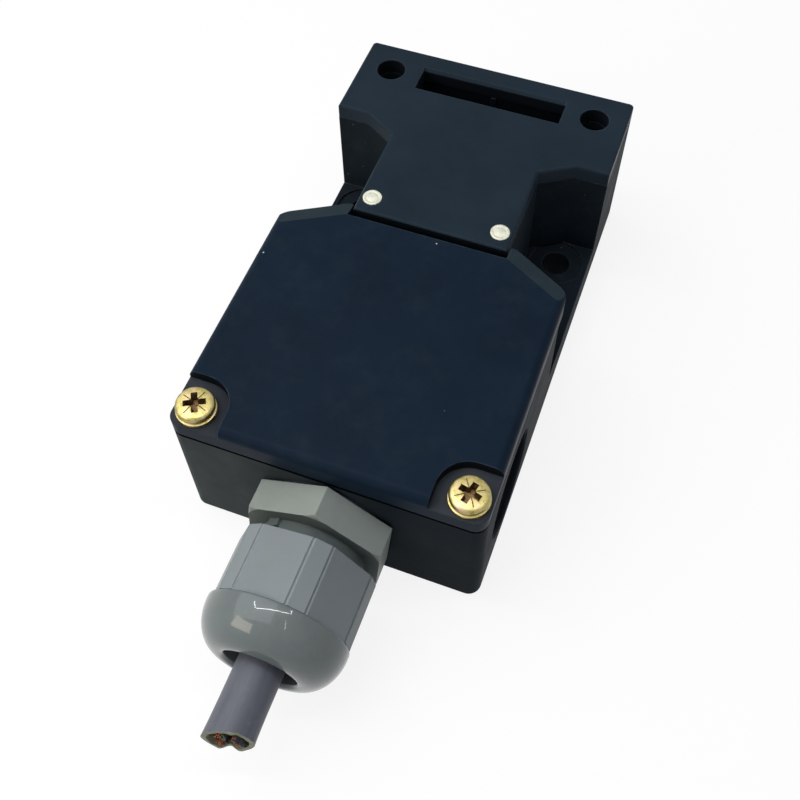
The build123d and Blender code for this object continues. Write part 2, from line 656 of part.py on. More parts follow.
def plunger():
    """The plunger: a rounded nose on the cam, a guided flange and a rod to the contacts."""
    half = NECK_ROOM_WIDTH / 2 - SLIDE_FIT
    low = ROTOR_Z - FLANGE_HEIGHT / 2
    high = ROTOR_Z + FLANGE_HEIGHT / 2
    flange = block(-half, half, FLANGE_BACK_Y, FLANGE_FRONT_Y, low, high)
    flange = fillet(flange.edges().filter_by(Axis.Y), FLANGE_CORNER_RADIUS)
    tip_y = NOSE_TIP_Y - NOSE_TIP_RADIUS
    profile = Polyline(
        (FLANGE_FRONT_Y, ROTOR_Z - NOSE_ROOT_HEIGHT / 2),
        (tip_y, ROTOR_Z - NOSE_TIP_RADIUS),
        (tip_y, ROTOR_Z + NOSE_TIP_RADIUS),
        (FLANGE_FRONT_Y, ROTOR_Z + NOSE_ROOT_HEIGHT / 2),
        close=True,
    )
    nose_plan = make_face(profile) + Pos(tip_y, ROTOR_Z) * Circle(NOSE_TIP_RADIUS)
    nose = extrude(Plane.YZ.offset(-NOSE_WIDTH / 2) * nose_plan, amount=NOSE_WIDTH)
    rod_length = FLANGE_BACK_Y - CARRIER_FAR_Y
    rod = bar((0, FLANGE_BACK_Y, ROTOR_Z), (0, -1, 0), ROD_DIAMETER / 2, rod_length)
    tip = bar((0, CARRIER_FAR_Y, ROTOR_Z), (0, -1, 0), ROD_TIP_DIAMETER / 2, ROD_TIP_LENGTH)
    return flange + nose + rod + tip


def plunger_spring():
    """The return spring round the rod, between the bulkhead and the flange."""
    length = FLANGE_BACK_Y - BULKHEAD_FACE_Y
    start = (0, BULKHEAD_FACE_Y, ROTOR_Z)
    return coil_spring(
        start,
        (0, 1, 0),
        length,
        PLUNGER_SPRING_COIL,
        PLUNGER_SPRING_WIRE,
        PLUNGER_SPRING_TURNS,
        PLUNGER_SPRING_SIDES,
    )


def contact_carrier():
    """The sliding carrier, with a window for each contact bridge and its spring."""
    half = CARRIER_WIDTH / 2
    body = block(-half, half, CARRIER_NEAR_Y, CARRIER_FAR_Y, CARRIER_LOW_Z, CARRIER_HIGH_Z)
    window_half = BRIDGE_HEIGHT / 2 + SLIDE_FIT
    for y in BRIDGE_YS:
        body -= block(
            -half,
            half,
            y - CONTACT_SPRING_LENGTH,
            y + STRIP_THICKNESS,
            ROTOR_Z - window_half,
            ROTOR_Z + window_half,
        )
    socket_radius = ROD_TIP_DIAMETER / 2 + SHAFT_FIT
    socket_depth = ROD_TIP_LENGTH + SLIDE_FIT
    return body - bar((0, CARRIER_FAR_Y, ROTOR_Z), (0, -1, 0), socket_radius, socket_depth)


def contact_bridge(y):
    """A contact bridge with a silver tip at each end, facing the fixed contacts."""
    half = BRIDGE_LENGTH / 2
    low = ROTOR_Z - BRIDGE_HEIGHT / 2
    high = ROTOR_Z + BRIDGE_HEIGHT / 2
    bridge = block(-half, half, y, y + STRIP_THICKNESS, low, high)
    bridge = fillet(bridge.edges().filter_by(Axis.Y), BRIDGE_CORNER_RADIUS)
    for side in MIRROR_SIDES:
        start = (side * CONTACT_TIP_X, y + STRIP_THICKNESS, ROTOR_Z)
        bridge += bar(start, (0, 1, 0), CONTACT_TIP_DIAMETER / 2, CONTACT_TIP_HEIGHT)
    return bridge


def contact_spring(y):
    """The small spring behind a contact bridge."""
    start = (0, y - CONTACT_SPRING_LENGTH, ROTOR_Z)
    return coil_spring(
        start,
        (0, 1, 0),
        CONTACT_SPRING_LENGTH,
        CONTACT_SPRING_COIL,
        CONTACT_SPRING_WIRE,
        CONTACT_SPRING_TURNS,
        CONTACT_SPRING_SIDES,
    )


def tab_range(strip_y):
    """The lowest and highest y of a terminal tab."""
    high = strip_y + STRIP_THICKNESS / 2
    return high - TAB_LENGTH, high


def tab_screw_y(strip_y):
    """The place of a terminal screw along Y."""
    low, high = tab_range(strip_y)
    return (low + high) / 2


def terminal_strip(side, strip_y):
    """A fixed contact: a leg in the contact room, bent over to a tab on the block."""
    inner = STRIP_INNER_X
    tab_inner = TAB_X - TAB_WIDTH / 2
    tab_outer = TAB_X + TAB_WIDTH / 2
    y_low = strip_y - STRIP_THICKNESS / 2
    y_high = strip_y + STRIP_THICKNESS / 2
    leg_low = ROTOR_Z - STRIP_LEG_HEIGHT / 2
    leg_high = ROTOR_Z + STRIP_LEG_HEIGHT / 2
    tab_high = BLOCK_TOP_Z + STRIP_THICKNESS
    tab_y_low, _ = tab_range(strip_y)
    strip = block(inner, tab_outer, y_low, y_high, leg_low, leg_high)
    strip += block(tab_inner, tab_outer, y_low, y_high, leg_high, tab_high)
    strip += block(tab_inner, tab_outer, tab_y_low, y_high, BLOCK_TOP_Z, tab_high)
    tip = (CONTACT_TIP_X, y_low, ROTOR_Z)
    strip += bar(tip, (0, -1, 0), CONTACT_TIP_DIAMETER / 2, CONTACT_TIP_HEIGHT)
    hole = (TAB_X, tab_screw_y(strip_y), BLOCK_TOP_Z)
    hole_radius = TERMINAL_SCREW_DIAMETER / 2 + THREAD_FIT
    strip -= bar(hole, (0, 0, 1), hole_radius, STRIP_THICKNESS)
    return strip if side > 0 else mirror(strip, about=Plane.YZ)


def contact_block():
    """The insulating block that holds the fixed contacts and guides the carrier."""
    half = BLOCK_WIDTH / 2
    taper_inset = CHAMBER_TAPER_WALL + BLOCK_TAPER_GAP
    taper_sum = HALF_WIDTH + SHOULDER_Y - taper_inset * math.sqrt(2)
    body = prism(
        both_sides([
            (half, BLOCK_NEAR_Y, 0),
            (half, taper_sum - half, 0),
            (taper_sum - BLOCK_FAR_Y, BLOCK_FAR_Y, 0),
        ]),
        CHAMBER_FLOOR,
        BLOCK_TOP_Z,
    )
    room = BLOCK_ROOM_WIDTH / 2
    ledge = room + LID_LEDGE
    body -= block(-room, room, BLOCK_ROOM_NEAR_Y, BLOCK_ROOM_FAR_Y, BLOCK_ROOM_FLOOR_Z, LID_LOW_Z)
    body -= block(-ledge, ledge, BLOCK_ROOM_NEAR_Y, BLOCK_ROOM_FAR_Y, LID_LOW_Z, BLOCK_TOP_Z)
    bore_radius = ROD_DIAMETER / 2 + SLIDE_FIT
    body -= bar((0, BLOCK_FAR_Y, ROTOR_Z), (0, -1, 0), bore_radius, BLOCK_FAR_WALL)
    slot_half = STRIP_THICKNESS / 2 + THREAD_FIT
    slot_low = ROTOR_Z - STRIP_LEG_HEIGHT / 2 - THREAD_FIT
    slot_outer = TAB_X + TAB_WIDTH / 2 + THREAD_FIT
    hole_radius = TERMINAL_SCREW_DIAMETER / 2 + THREAD_FIT
    for strip_y in STRIP_YS:
        for side in MIRROR_SIDES:
            x_low = min(side * room, side * slot_outer)
            x_high = max(side * room, side * slot_outer)
            body -= block(
                x_low, x_high, strip_y - slot_half, strip_y + slot_half, slot_low, BLOCK_TOP_Z
            )
            hole = (side * TAB_X, tab_screw_y(strip_y), BLOCK_TOP_Z)
            body -= bar(hole, (0, 0, -1), hole_radius, TERMINAL_HOLE_DEPTH)
    barrier_y = (tab_range(STRIP_YS[1])[0] + tab_range(STRIP_YS[0])[1]) / 2
    for side in MIRROR_SIDES:
        x_low = min(side * (ledge + BARRIER_GAP), side * half)
        x_high = max(side * (ledge + BARRIER_GAP), side * half)
        body += block(
            x_low,
            x_high,
            barrier_y - BARRIER_THICKNESS / 2,
            barrier_y + BARRIER_THICKNESS / 2,
            BLOCK_TOP_Z,
            BLOCK_TOP_Z + BARRIER_HEIGHT,
        )
    return body


def contact_block_lid():
    """The lid over the contact room, level with the top of the block."""
    half = BLOCK_ROOM_WIDTH / 2 + LID_LEDGE - BLOCK_FIT
    near = BLOCK_ROOM_NEAR_Y + BLOCK_FIT
    far = BLOCK_ROOM_FAR_Y - BLOCK_FIT
    return block(-half, half, near, far, LID_LOW_Z, BLOCK_TOP_Z)


def drive_cross(centre_x, centre_y, top_z, length, width, depth):
    """The cross-shaped recess in a screw head."""
    cross = block(
        centre_x - length / 2, centre_x + length / 2,
        centre_y - width / 2, centre_y + width / 2,
        top_z - depth, top_z,
    )
    cross += block(
        centre_x - width / 2, centre_x + width / 2,
        centre_y - length / 2, centre_y + length / 2,
        top_z - depth, top_z,
    )
    return cross


def terminal_places():
    """The centres of the four terminals."""
    return [(side * TAB_X, tab_screw_y(y)) for y in STRIP_YS for side in MIRROR_SIDES]


def clamp_washers():
    """The square washers that clamp the wires on the tabs."""
    low = BLOCK_TOP_Z + STRIP_THICKNESS
    half = WASHER_SIZE / 2
    hole_radius = TERMINAL_SCREW_DIAMETER / 2 + THREAD_FIT
    washers = []
    for x, y in terminal_places():
        washer = block(x - half, x + half, y - half, y + half, low, low + WASHER_THICKNESS)
        washer -= bar((x, y, low), (0, 0, 1), hole_radius, WASHER_THICKNESS)
        washers.append(washer)
    return Compound(children=washers)


def terminal_screws():
    """The four terminal screws, with a slot in each head."""
    head_z = BLOCK_TOP_Z + STRIP_THICKNESS + WASHER_THICKNESS
    top_z = head_z + TERMINAL_HEAD_HEIGHT
    radius = TERMINAL_HEAD_DIAMETER / 2
    slot_half = TERMINAL_SLOT_WIDTH / 2
    slot_low = top_z - TERMINAL_SLOT_DEPTH
    shank_length = TERMINAL_HOLE_DEPTH - TERMINAL_END_GAP + head_z - BLOCK_TOP_Z
    screws = []
    for x, y in terminal_places():
        head = bar((x, y, head_z), (0, 0, 1), radius, TERMINAL_HEAD_HEIGHT)
        head = chamfer(head.edges().sort_by(Axis.Z)[-1], TERMINAL_HEAD_CHAMFER)
        head -= block(x - radius, x + radius, y - slot_half, y + slot_half, slot_low, top_z)
        shank = bar((x, y, head_z), (0, 0, -1), TERMINAL_SCREW_DIAMETER / 2, shank_length)
        screws.append(head + shank)
    return Compound(children=screws)


def cover_outline():
    """Plan of the wiring cover, with an ear on each side of the head plate's neck."""
    ear_x = NECK_X + COVER_EAR_GAP
    return both_sides([
        (HALF_WIDTH, CABLE_Y, CABLE_CORNER_RADIUS),
        (HALF_WIDTH, COVER_SIDE_END_Y, COVER_SIDE_END_RADIUS),
        (ear_x + COVER_EAR_TIP, COVER_EAR_Y, COVER_EAR_RADIUS),
        (ear_x, COVER_EAR_Y, COVER_EAR_RADIUS),
        (ear_x, COVER_FAR_Y, 0),
    ])


def facet_plane(side):
    """The sloping face along a far corner of the cover, seen from its upper side."""
    inner_side = Vector(side * HALF_WIDTH, FACET_INNER_SIDE_Y, HOUSING_HEIGHT)
    inner_ear = Vector(side * (NECK_X + FACET_EAR_INSET), FACET_INNER_EAR_Y, HOUSING_HEIGHT)
    outer = Vector(side * HALF_WIDTH, COVER_SIDE_END_Y, HOUSING_HEIGHT - FACET_DROP)
    normal = (inner_ear - inner_side).cross(outer - inner_side)
    if normal.Z < 0:
        normal = normal * -1
    return Plane(origin=inner_side, z_dir=normal)


def wiring_cover():
    """The cover over the wiring chamber, hollow below, with a lip and screw pockets."""
    crown = block(-HALF_WIDTH, HALF_WIDTH, CABLE_Y, COVER_EAR_Y, COVER_LOW_Z, HOUSING_HEIGHT)
    top = crown.faces().sort_by(Axis.Z)[-1]
    crown = fillet(top.edges().sort_by(Axis.Y)[:-1], COVER_EDGE_RADIUS)
    cover = prism(cover_outline(), COVER_LOW_Z, HOUSING_HEIGHT) & crown
    for side in MIRROR_SIDES:
        cover = split(cover, bisect_by=facet_plane(side), keep=Keep.BOTTOM)
    inside_half = HALF_WIDTH - COVER_RIM_WIDTH
    inside_far = COVER_FAR_Y - HOLLOW_EAR_GAP
    inside_top = HOUSING_HEIGHT - COVER_TOP_THICKNESS
    hollow = prism(
        both_sides([
            (inside_half, CABLE_Y + COVER_RIM_WIDTH, HOLLOW_CORNER_RADIUS),
            (inside_half, FACET_INNER_SIDE_Y - HOLLOW_FACET_GAP, HOLLOW_CORNER_RADIUS),
            (inside_half - HOLLOW_TAPER, inside_far, HOLLOW_CORNER_RADIUS),
        ]),
        COVER_LOW_Z,
        inside_top,
    )
    hollow -= screw_columns(BOSS_DIAMETER / 2 + HOLLOW_BOSS_GAP, COVER_LOW_Z, inside_top)
    cover -= hollow
    lip_low = COVER_LOW_Z - COVER_LIP_HEIGHT
    lip = prism(chamber_outline(COVER_LIP_FIT), lip_low, inside_top)
    lip -= prism(chamber_outline(COVER_LIP_FIT + COVER_LIP_THICKNESS), lip_low, inside_top)
    lip -= screw_columns(BOSS_DIAMETER / 2 + COVER_LIP_FIT, lip_low, inside_top)
    cover += lip
    for side in MIRROR_SIDES:
        inner_x = side * (HALF_WIDTH - POCKET_WIDTH)
        outer_x = side * (HALF_WIDTH + OVERRUN)
        far = CABLE_Y + POCKET_LENGTH
        near = CABLE_Y - OVERRUN
        cover -= prism(
            [
                (outer_x, near, 0),
                (outer_x, far, 0),
                (inner_x, far, POCKET_CORNER_RADIUS),
                (inner_x, near, 0),
            ],
            POCKET_FLOOR_Z,
            HOUSING_HEIGHT + OVERRUN,
        )
    return cover - screw_columns(COVER_SCREW_HOLE / 2, COVER_LOW_Z, HOUSING_HEIGHT)


def cover_gasket():
    """The flat gasket in the seam between the housing's rim and the cover."""
    outer_half = HALF_WIDTH - GASKET_INSET
    near = CABLE_Y + GASKET_INSET
    far = COVER_FAR_Y - GASKET_STEP_GAP
    taper_sum = HALF_WIDTH + SHOULDER_Y - GASKET_INSET * math.sqrt(2)
    outer = prism(
        both_sides([
            (outer_half, near, CABLE_CORNER_RADIUS - GASKET_INSET),
            (outer_half, taper_sum - outer_half, 0),
            (taper_sum - far, far, 0),
        ]),
        RIM_Z,
        COVER_LOW_Z,
    )
    inner = prism(chamber_outline(0), RIM_Z, COVER_LOW_Z)
    inner -= screw_columns(BOSS_DIAMETER / 2, RIM_Z, COVER_LOW_Z)
    return outer - inner - screw_columns(COVER_SCREW_HOLE / 2, RIM_Z, COVER_LOW_Z)


def cover_screws():
    """The two captive cover screws, with pan heads and cross recesses."""
    screws = []
    radius = COVER_SCREW_HEAD_DIAMETER / 2
    top_z = POCKET_FLOOR_Z + COVER_SCREW_HEAD_HEIGHT
    profile = Polyline(
        (0, POCKET_FLOOR_Z),
        (radius, POCKET_FLOOR_Z),
        (radius, POCKET_FLOOR_Z + COVER_SCREW_SIDE_HEIGHT),
        (radius - COVER_SCREW_HEAD_RIM, top_z - COVER_SCREW_CROWN_HEIGHT),
        (COVER_SCREW_CROWN_DIAMETER / 2, top_z),
        (0, top_z),
        close=True,
    )
    pan = revolve(Plane.XZ * make_face(profile), Axis.Z)
    for side in MIRROR_SIDES:
        x = side * COVER_SCREW_X
        head = Pos(x, COVER_SCREW_Y, 0) * pan
        head -= drive_cross(x, COVER_SCREW_Y, top_z, DRIVE_LENGTH, DRIVE_WIDTH, DRIVE_DEPTH)
        shank_length = POCKET_FLOOR_Z - RIM_Z + COVER_SCREW_REACH
        start = (x, COVER_SCREW_Y, POCKET_FLOOR_Z)
        screws.append(head + bar(start, (0, 0, -1), COVER_SCREW_DIAMETER / 2, shank_length))
    return Compound(children=screws)


def screw_inserts():
    """The two brass inserts in the bosses, level with the housing's rim."""
    outer = INSERT_DIAMETER / 2 - INSERT_FIT
    inner = COVER_SCREW_DIAMETER / 2 + THREAD_FIT
    inserts = []
    for side in MIRROR_SIDES:
        start = (side * COVER_SCREW_X, COVER_SCREW_Y, RIM_Z - INSERT_LENGTH)
        inserts.append(tube(start, (0, 0, 1), outer, inner, INSERT_LENGTH))
    return Compound(children=inserts)


def gland_seal_ring():
    """The flat sealing ring between the gland's hexagon and the housing."""
    inner = ENTRY_DIAMETER / 2 + ENTRY_LEAD_IN
    start = (0, CABLE_Y, GLAND_Z)
    return tube(start, (0, -1, 0), GLAND_SEAL_DIAMETER / 2, inner, GLAND_SEAL_THICKNESS)


def gland_body():
    """The gland's body: thread end, hexagon, neck with a stop for the nut, and fingers."""
    corner = GLAND_HEX_ACROSS_CORNERS / 2
    plane = Plane(origin=(0, HEX_BACK_Y, GLAND_Z), x_dir=(0, 0, 1), z_dir=(0, -1, 0))
    hexagon = extrude(
        plane * (Rot(0, 0, GLAND_HEX_TURN) * RegularPolygon(corner, 6)), amount=GLAND_HEX_THICKNESS
    )
    bevel = turned_about_y(
        [
            (0, HEX_BACK_Y),
            (corner, HEX_BACK_Y),
            (corner, HEX_FRONT_Y + GLAND_HEX_BEVEL / 2),
            (corner - GLAND_HEX_BEVEL, HEX_FRONT_Y),
            (0, HEX_FRONT_Y),
        ],
        GLAND_Z,
    )
    thread = ENTRY_DIAMETER / 2 - GLAND_THREAD_FIT
    neck = GLAND_NECK_DIAMETER / 2
    neck_end = HEX_FRONT_Y - GLAND_NECK_LENGTH
    finger_end = neck_end - GLAND_FINGER_LENGTH
    bore = GLAND_BORE_DIAMETER / 2
    seat = GLAND_SEAT_DIAMETER / 2
    stem = turned_about_y(
        [
            (bore, CABLE_Y + GLAND_THREAD_LENGTH),
            (thread - GLAND_THREAD_CHAMFER, CABLE_Y + GLAND_THREAD_LENGTH),
            (thread, CABLE_Y + GLAND_THREAD_LENGTH - GLAND_THREAD_CHAMFER),
            (thread, HEX_FRONT_Y + OVERRUN),
            (neck, HEX_FRONT_Y + OVERRUN),
            (neck, neck_end),
            (GLAND_FINGER_TIP_DIAMETER / 2, finger_end),
            (seat, finger_end),
            (seat, SEAT_Y),
            (bore, SEAT_Y),
        ],
        GLAND_Z,
    )
    centre_bore = bar((0, HEX_FRONT_Y, GLAND_Z), (0, 1, 0), bore, GLAND_HEX_THICKNESS)
    body = (hexagon & bevel) - centre_bore + stem
    slot = Pos(0, (neck_end + finger_end) / 2, GLAND_Z) * Box(
        GLAND_NECK_DIAMETER + OVERRUN, GLAND_FINGER_LENGTH, GLAND_FINGER_SLOT
    )
    axis = Axis((0, 0, GLAND_Z), (0, 1, 0))
    for index in range(GLAND_FINGER_COUNT // 2):
        body -= slot.rotate(axis, 360 * index / GLAND_FINGER_COUNT)
    stop = block(
        -GLAND_STOP_WIDTH / 2,
        GLAND_STOP_WIDTH / 2,
        HEX_FRONT_Y - GLAND_STOP_LENGTH,
        HEX_FRONT_Y,
        GLAND_Z + (bore + neck) / 2,
        GLAND_Z + neck + GLAND_STOP_HEIGHT,
    )
    return body + stop.rotate(axis, -GLAND_STOP_TURN)


def gland_seal_insert():
    """The rubber sleeve that the gland squeezes on the cable."""
    outer = GLAND_SEAT_DIAMETER / 2 - GLAND_INSERT_FIT
    inner = CABLE_DIAMETER / 2 + GLAND_INSERT_FIT
    start = SEAT_Y - GLAND_INSERT_GAP
    end = INSERT_END_Y
    return turned_about_y(
        [
            (inner, start),
            (outer, start),
            (outer, end + GLAND_INSERT_OUTER_BEVEL),
            (outer - GLAND_INSERT_OUTER_BEVEL, end),
            (inner + GLAND_INSERT_MOUTH_BEVEL, end),
            (inner, end + GLAND_INSERT_MOUTH_BEVEL),
        ],
        GLAND_Z,
    )


def gland_cap_nut():
    """The cap nut: a grip with six wide flats and narrow ribs, and a smooth dome."""
    half_flat = NUT_FLAT_WIDTH / 2
    half_angle = math.degrees(math.atan2(half_flat, NUT_FLAT_RADIUS))
    corner = math.hypot(half_flat, NUT_FLAT_RADIUS)
    step = 360 / NUT_SIDE_COUNT
    angles = [
        index * step + offset
        for index in range(NUT_SIDE_COUNT)
        for offset in (-half_angle, half_angle)
    ]
    points = [
        (corner * math.cos(math.radians(angle)), corner * math.sin(math.radians(angle)))
        for angle in angles
    ]
    plane = Plane(origin=(0, NUT_BACK_Y, GLAND_Z), x_dir=(0, 0, 1), z_dir=(0, -1, 0))
    outline = Rot(0, 0, NUT_TURN) * make_face(Polyline(*points, close=True))
    grip = extrude(plane * outline, amount=NUT_GRIP_LENGTH)
    grip_groove = extrude(
        plane * Rectangle(NUT_GROOVE_WIDTH, NUT_GROOVE_WIDTH), amount=NUT_GRIP_LENGTH
    )
    axis = Axis((0, 0, GLAND_Z), (0, -1, 0))
    groove = Pos(0, 0, corner) * grip_groove
    for angle in angles:
        grip -= groove.rotate(axis, NUT_TURN + angle)
    mouth = NUT_MOUTH_DIAMETER / 2
    rise = NUT_DOME_RISE
    round_width = NUT_DOME_RADIUS - mouth - NUT_MOUTH_RIM
    round_length = NUT_DOME_LENGTH - NUT_DOME_LAND
    quarter = []
    for index in range(NUT_DOME_STEPS + 1):
        angle = math.radians(90 * index / NUT_DOME_STEPS)
        quarter.append((
            NUT_DOME_RADIUS - round_width * (1 - math.cos(angle)),
            DOME_START_Y - NUT_DOME_LAND - round_length * math.sin(angle),
        ))
    dome = turned_about_y(
        [
            (NUT_DOME_RADIUS - rise, DOME_START_Y),
            (NUT_DOME_RADIUS, DOME_START_Y - rise),
            *quarter,
            (mouth, MOUTH_Y + rise),
            (mouth, DOME_START_Y),
        ],
        GLAND_Z,
    )
    thread = GLAND_NECK_DIAMETER / 2 + NUT_THREAD_FIT
    neck_end = HEX_FRONT_Y - GLAND_NECK_LENGTH
    finger_end = neck_end - GLAND_FINGER_LENGTH
    tip = GLAND_FINGER_TIP_DIAMETER / 2 + NUT_THREAD_FIT
    sleeve = GLAND_SEAT_DIAMETER / 2
    sleeve_end = INSERT_END_Y - GLAND_INSERT_GAP
    cavity = turned_about_y(
        [
            (0, NUT_BACK_Y),
            (thread + NUT_LEAD_IN, NUT_BACK_Y),
            (thread, NUT_BACK_Y - NUT_LEAD_IN),
            (thread, neck_end - NUT_THREAD_FIT),
            (tip, finger_end - NUT_THREAD_FIT),
            (sleeve, finger_end - NUT_THREAD_FIT),
            (sleeve, sleeve_end),
            (mouth, sleeve_end),
            (mouth, MOUTH_Y),
            (0, MOUTH_Y),
        ],
        GLAND_Z,
    )
    return grip + dome - cavity


def core_places():
    """The centres of the cable's cores, as x and z."""
    places = []
    for index in range(CORE_COUNT):
        angle = math.radians(45 + 360 * index / CORE_COUNT)
        x = CORE_RING_RADIUS * math.cos(angle)
        places.append((x, GLAND_Z + CORE_RING_RADIUS * math.sin(angle)))
    return places


def cable_jacket():
    """The jacket of the cable stub, from its cut end into the wiring chamber."""
    outer = CABLE_DIAMETER / 2
    start = (0, CABLE_END_Y, GLAND_Z)
    length = JACKET_INSIDE_Y - CABLE_END_Y
    return tube(start, (0, 1, 0), outer, outer - CABLE_JACKET_WALL, length)


def cable_cores():
    """The insulation of the cores, which ends a little past the jacket."""
    cores = []
    for index, (x, z) in enumerate(core_places()):
        start_y = CABLE_END_Y + CUT_END_STAGGER * (1 + index % 2)
        length = JACKET_INSIDE_Y + CORE_STRIPPED_LENGTH - start_y
        inner = CONDUCTOR_DIAMETER / 2 + CONDUCTOR_FIT
        cores.append(tube((x, start_y, z), (0, 1, 0), CORE_DIAMETER / 2, inner, length))
    return Compound(children=cores)


def core_conductors():
    """The copper of the cores, cut unevenly at the free end."""
    wires = []
    for index, (x, z) in enumerate(core_places()):
        start_y = CABLE_END_Y + CUT_END_STAGGER * (index % 3 - 1)
        length = JACKET_INSIDE_Y + CORE_STRIPPED_LENGTH + CONDUCTOR_BARE_LENGTH - start_y
        wires.append(bar((x, start_y, z), (0, 1, 0), CONDUCTOR_DIAMETER / 2, length))
    return Compound(children=wires)


PARTS = {
    "housing": housing,
    "head_cover_plate": head_cover_plate,
    "plate_rivets": plate_rivets,
    "cam_rotor": cam_rotor,
    "rotor_shaft": rotor_shaft,
    "plunger": plunger,
    "plunger_spring": plunger_spring,
    "contact_carrier": contact_carrier,
    "contact_block": contact_block,
    "contact_block_lid": contact_block_lid,
    "clamp_washers": clamp_washers,
    "terminal_screws": terminal_screws,
    "wiring_cover": wiring_cover,
    "cover_gasket": cover_gasket,
    "cover_screws": cover_screws,
    "screw_inserts": screw_inserts,
    "gland_seal_ring": gland_seal_ring,
    "gland_body": gland_body,
    "gland_seal_insert": gland_seal_insert,
    "gland_cap_nut": gland_cap_nut,
    "cable_jacket": cable_jacket,
    "cable_cores": cable_cores,
    "core_conductors": core_conductors,
}


def main():
    """Builds every piece and writes one STEP file for each node."""
    os.makedirs("parts", exist_ok=True)
    for name, build in PARTS.items():
        export_step(build(), f"parts/{name}.step")
    for index, y in enumerate(BRIDGE_YS, start=1):
        export_step(contact_bridge(y), f"parts/contact_bridge_{index}.step")
        export_step(contact_spring(y), f"parts/contact_spring_{index}.step")
    number = 0
    for y in STRIP_YS:
        for side in MIRROR_SIDES:
            number += 1
            export_step(terminal_strip(side, y), f"parts/terminal_strip_{number}.step")


main()
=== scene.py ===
"""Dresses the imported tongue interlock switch, lights it and places the camera.

Every piece is in metres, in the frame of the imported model. The origin lies midway
between the two round fixing holes, on the back face. +Y runs to the head end, where
the tongue goes in, and +Z out of the front. The sizes that the sub-assemblies hold and
that their methods take are in millimetres, and those of finishes and lamps in metres.
"""

import logging
import math
import random
from dataclasses import dataclass
from enum import Enum
from typing import Callable, Iterable, Optional, Sequence, Union

import bmesh
import bpy
from mathutils import Matrix, Vector


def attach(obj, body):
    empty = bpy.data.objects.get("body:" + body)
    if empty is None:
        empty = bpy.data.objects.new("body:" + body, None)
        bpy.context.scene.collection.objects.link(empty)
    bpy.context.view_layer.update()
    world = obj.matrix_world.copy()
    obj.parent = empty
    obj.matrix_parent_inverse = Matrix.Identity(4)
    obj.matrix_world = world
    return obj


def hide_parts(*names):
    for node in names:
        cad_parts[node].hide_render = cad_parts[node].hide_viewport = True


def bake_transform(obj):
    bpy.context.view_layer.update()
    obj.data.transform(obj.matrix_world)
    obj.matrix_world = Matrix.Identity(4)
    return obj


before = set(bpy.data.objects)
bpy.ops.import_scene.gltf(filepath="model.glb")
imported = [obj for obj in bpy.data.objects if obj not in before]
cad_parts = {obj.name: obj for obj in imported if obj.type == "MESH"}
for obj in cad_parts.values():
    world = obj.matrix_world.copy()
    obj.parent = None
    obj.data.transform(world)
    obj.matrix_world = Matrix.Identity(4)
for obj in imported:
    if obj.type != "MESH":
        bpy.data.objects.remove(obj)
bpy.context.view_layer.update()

LOG = logging.getLogger("tongue_switch")
MM = 0.001
PHOTO_PIXELS = 800.0
MERGE_DISTANCE = 2e-6
FLAT_ANGLE = math.radians(0.6)
OUT_OF_FRONT = Vector((0, 0, 1))
TO_HEAD = Vector((0, 1, 0))
TO_CABLE = Vector((0, -1, 0))

Colour = tuple[float, float, float]
Place = tuple[float, float, float]
Profile = Sequence[tuple[float, float]]
Mesh = bmesh.types.BMesh
Socket = bpy.types.NodeSocket
Feeds = dict[Union[str, int], object]


def tint(code: str) -> Colour:
    """Turns a screen colour into the linear values that shaders use.

    Args:
        code: Six hexadecimal digits, red first.

    Returns:
        The linear red, green and blue.
    """
    channels = [int(code[index:index + 2], 16) / 255 for index in (0, 2, 4)]
    linear = [c / 12.92 if c <= 0.04045 else ((c + 0.055) / 1.055) ** 2.4 for c in channels]
    return linear[0], linear[1], linear[2]


def tints(*codes: str) -> tuple[Colour, ...]:
    """Returns the linear values of several screen colours."""
    return tuple(tint(code) for code in codes)


def scaled(colour: Colour, factor: float) -> Colour:
    """Returns a colour made darker or lighter by a factor."""
    return colour[0] * factor, colour[1] * factor, colour[2] * factor


def placed(name: str, data: bpy.types.ID) -> bpy.types.Object:
    """Puts an object in the scene, at the origin.

    Args:
        name: The object's name.
        data: Its mesh, lamp or camera.

    Returns:
        The object.
    """
    made = bpy.data.objects.new(name, data)
    bpy.context.scene.collection.objects.link(made)
    return made


def object_of(mesh: Mesh, name: str) -> bpy.types.Object:
    """Turns a mesh into an object at the origin and frees the mesh.

    Args:
        mesh: The mesh.
        name: The object's name.

    Returns:
        The object.
    """
    data = bpy.data.meshes.new(name)
    mesh.to_mesh(data)
    mesh.free()
    return placed(name, data)


def zoned(mesh: Mesh, zone: Callable[[Vector, Vector], int]) -> Mesh:
    """Gives each face of a mesh the finish of its zone.

    Args:
        mesh: The mesh.
        zone: Finds a material index from the middle of a face and its normal.

    Returns:
        The same mesh.
    """
    for face in mesh.faces:
        face.material_index = zone(face.calc_center_median() / MM, face.normal)
    return mesh


class Body(Enum):
    """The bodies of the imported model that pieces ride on."""

    BASE = "base"
    SLIDER = "contact_slider"
    COVER = "cover"


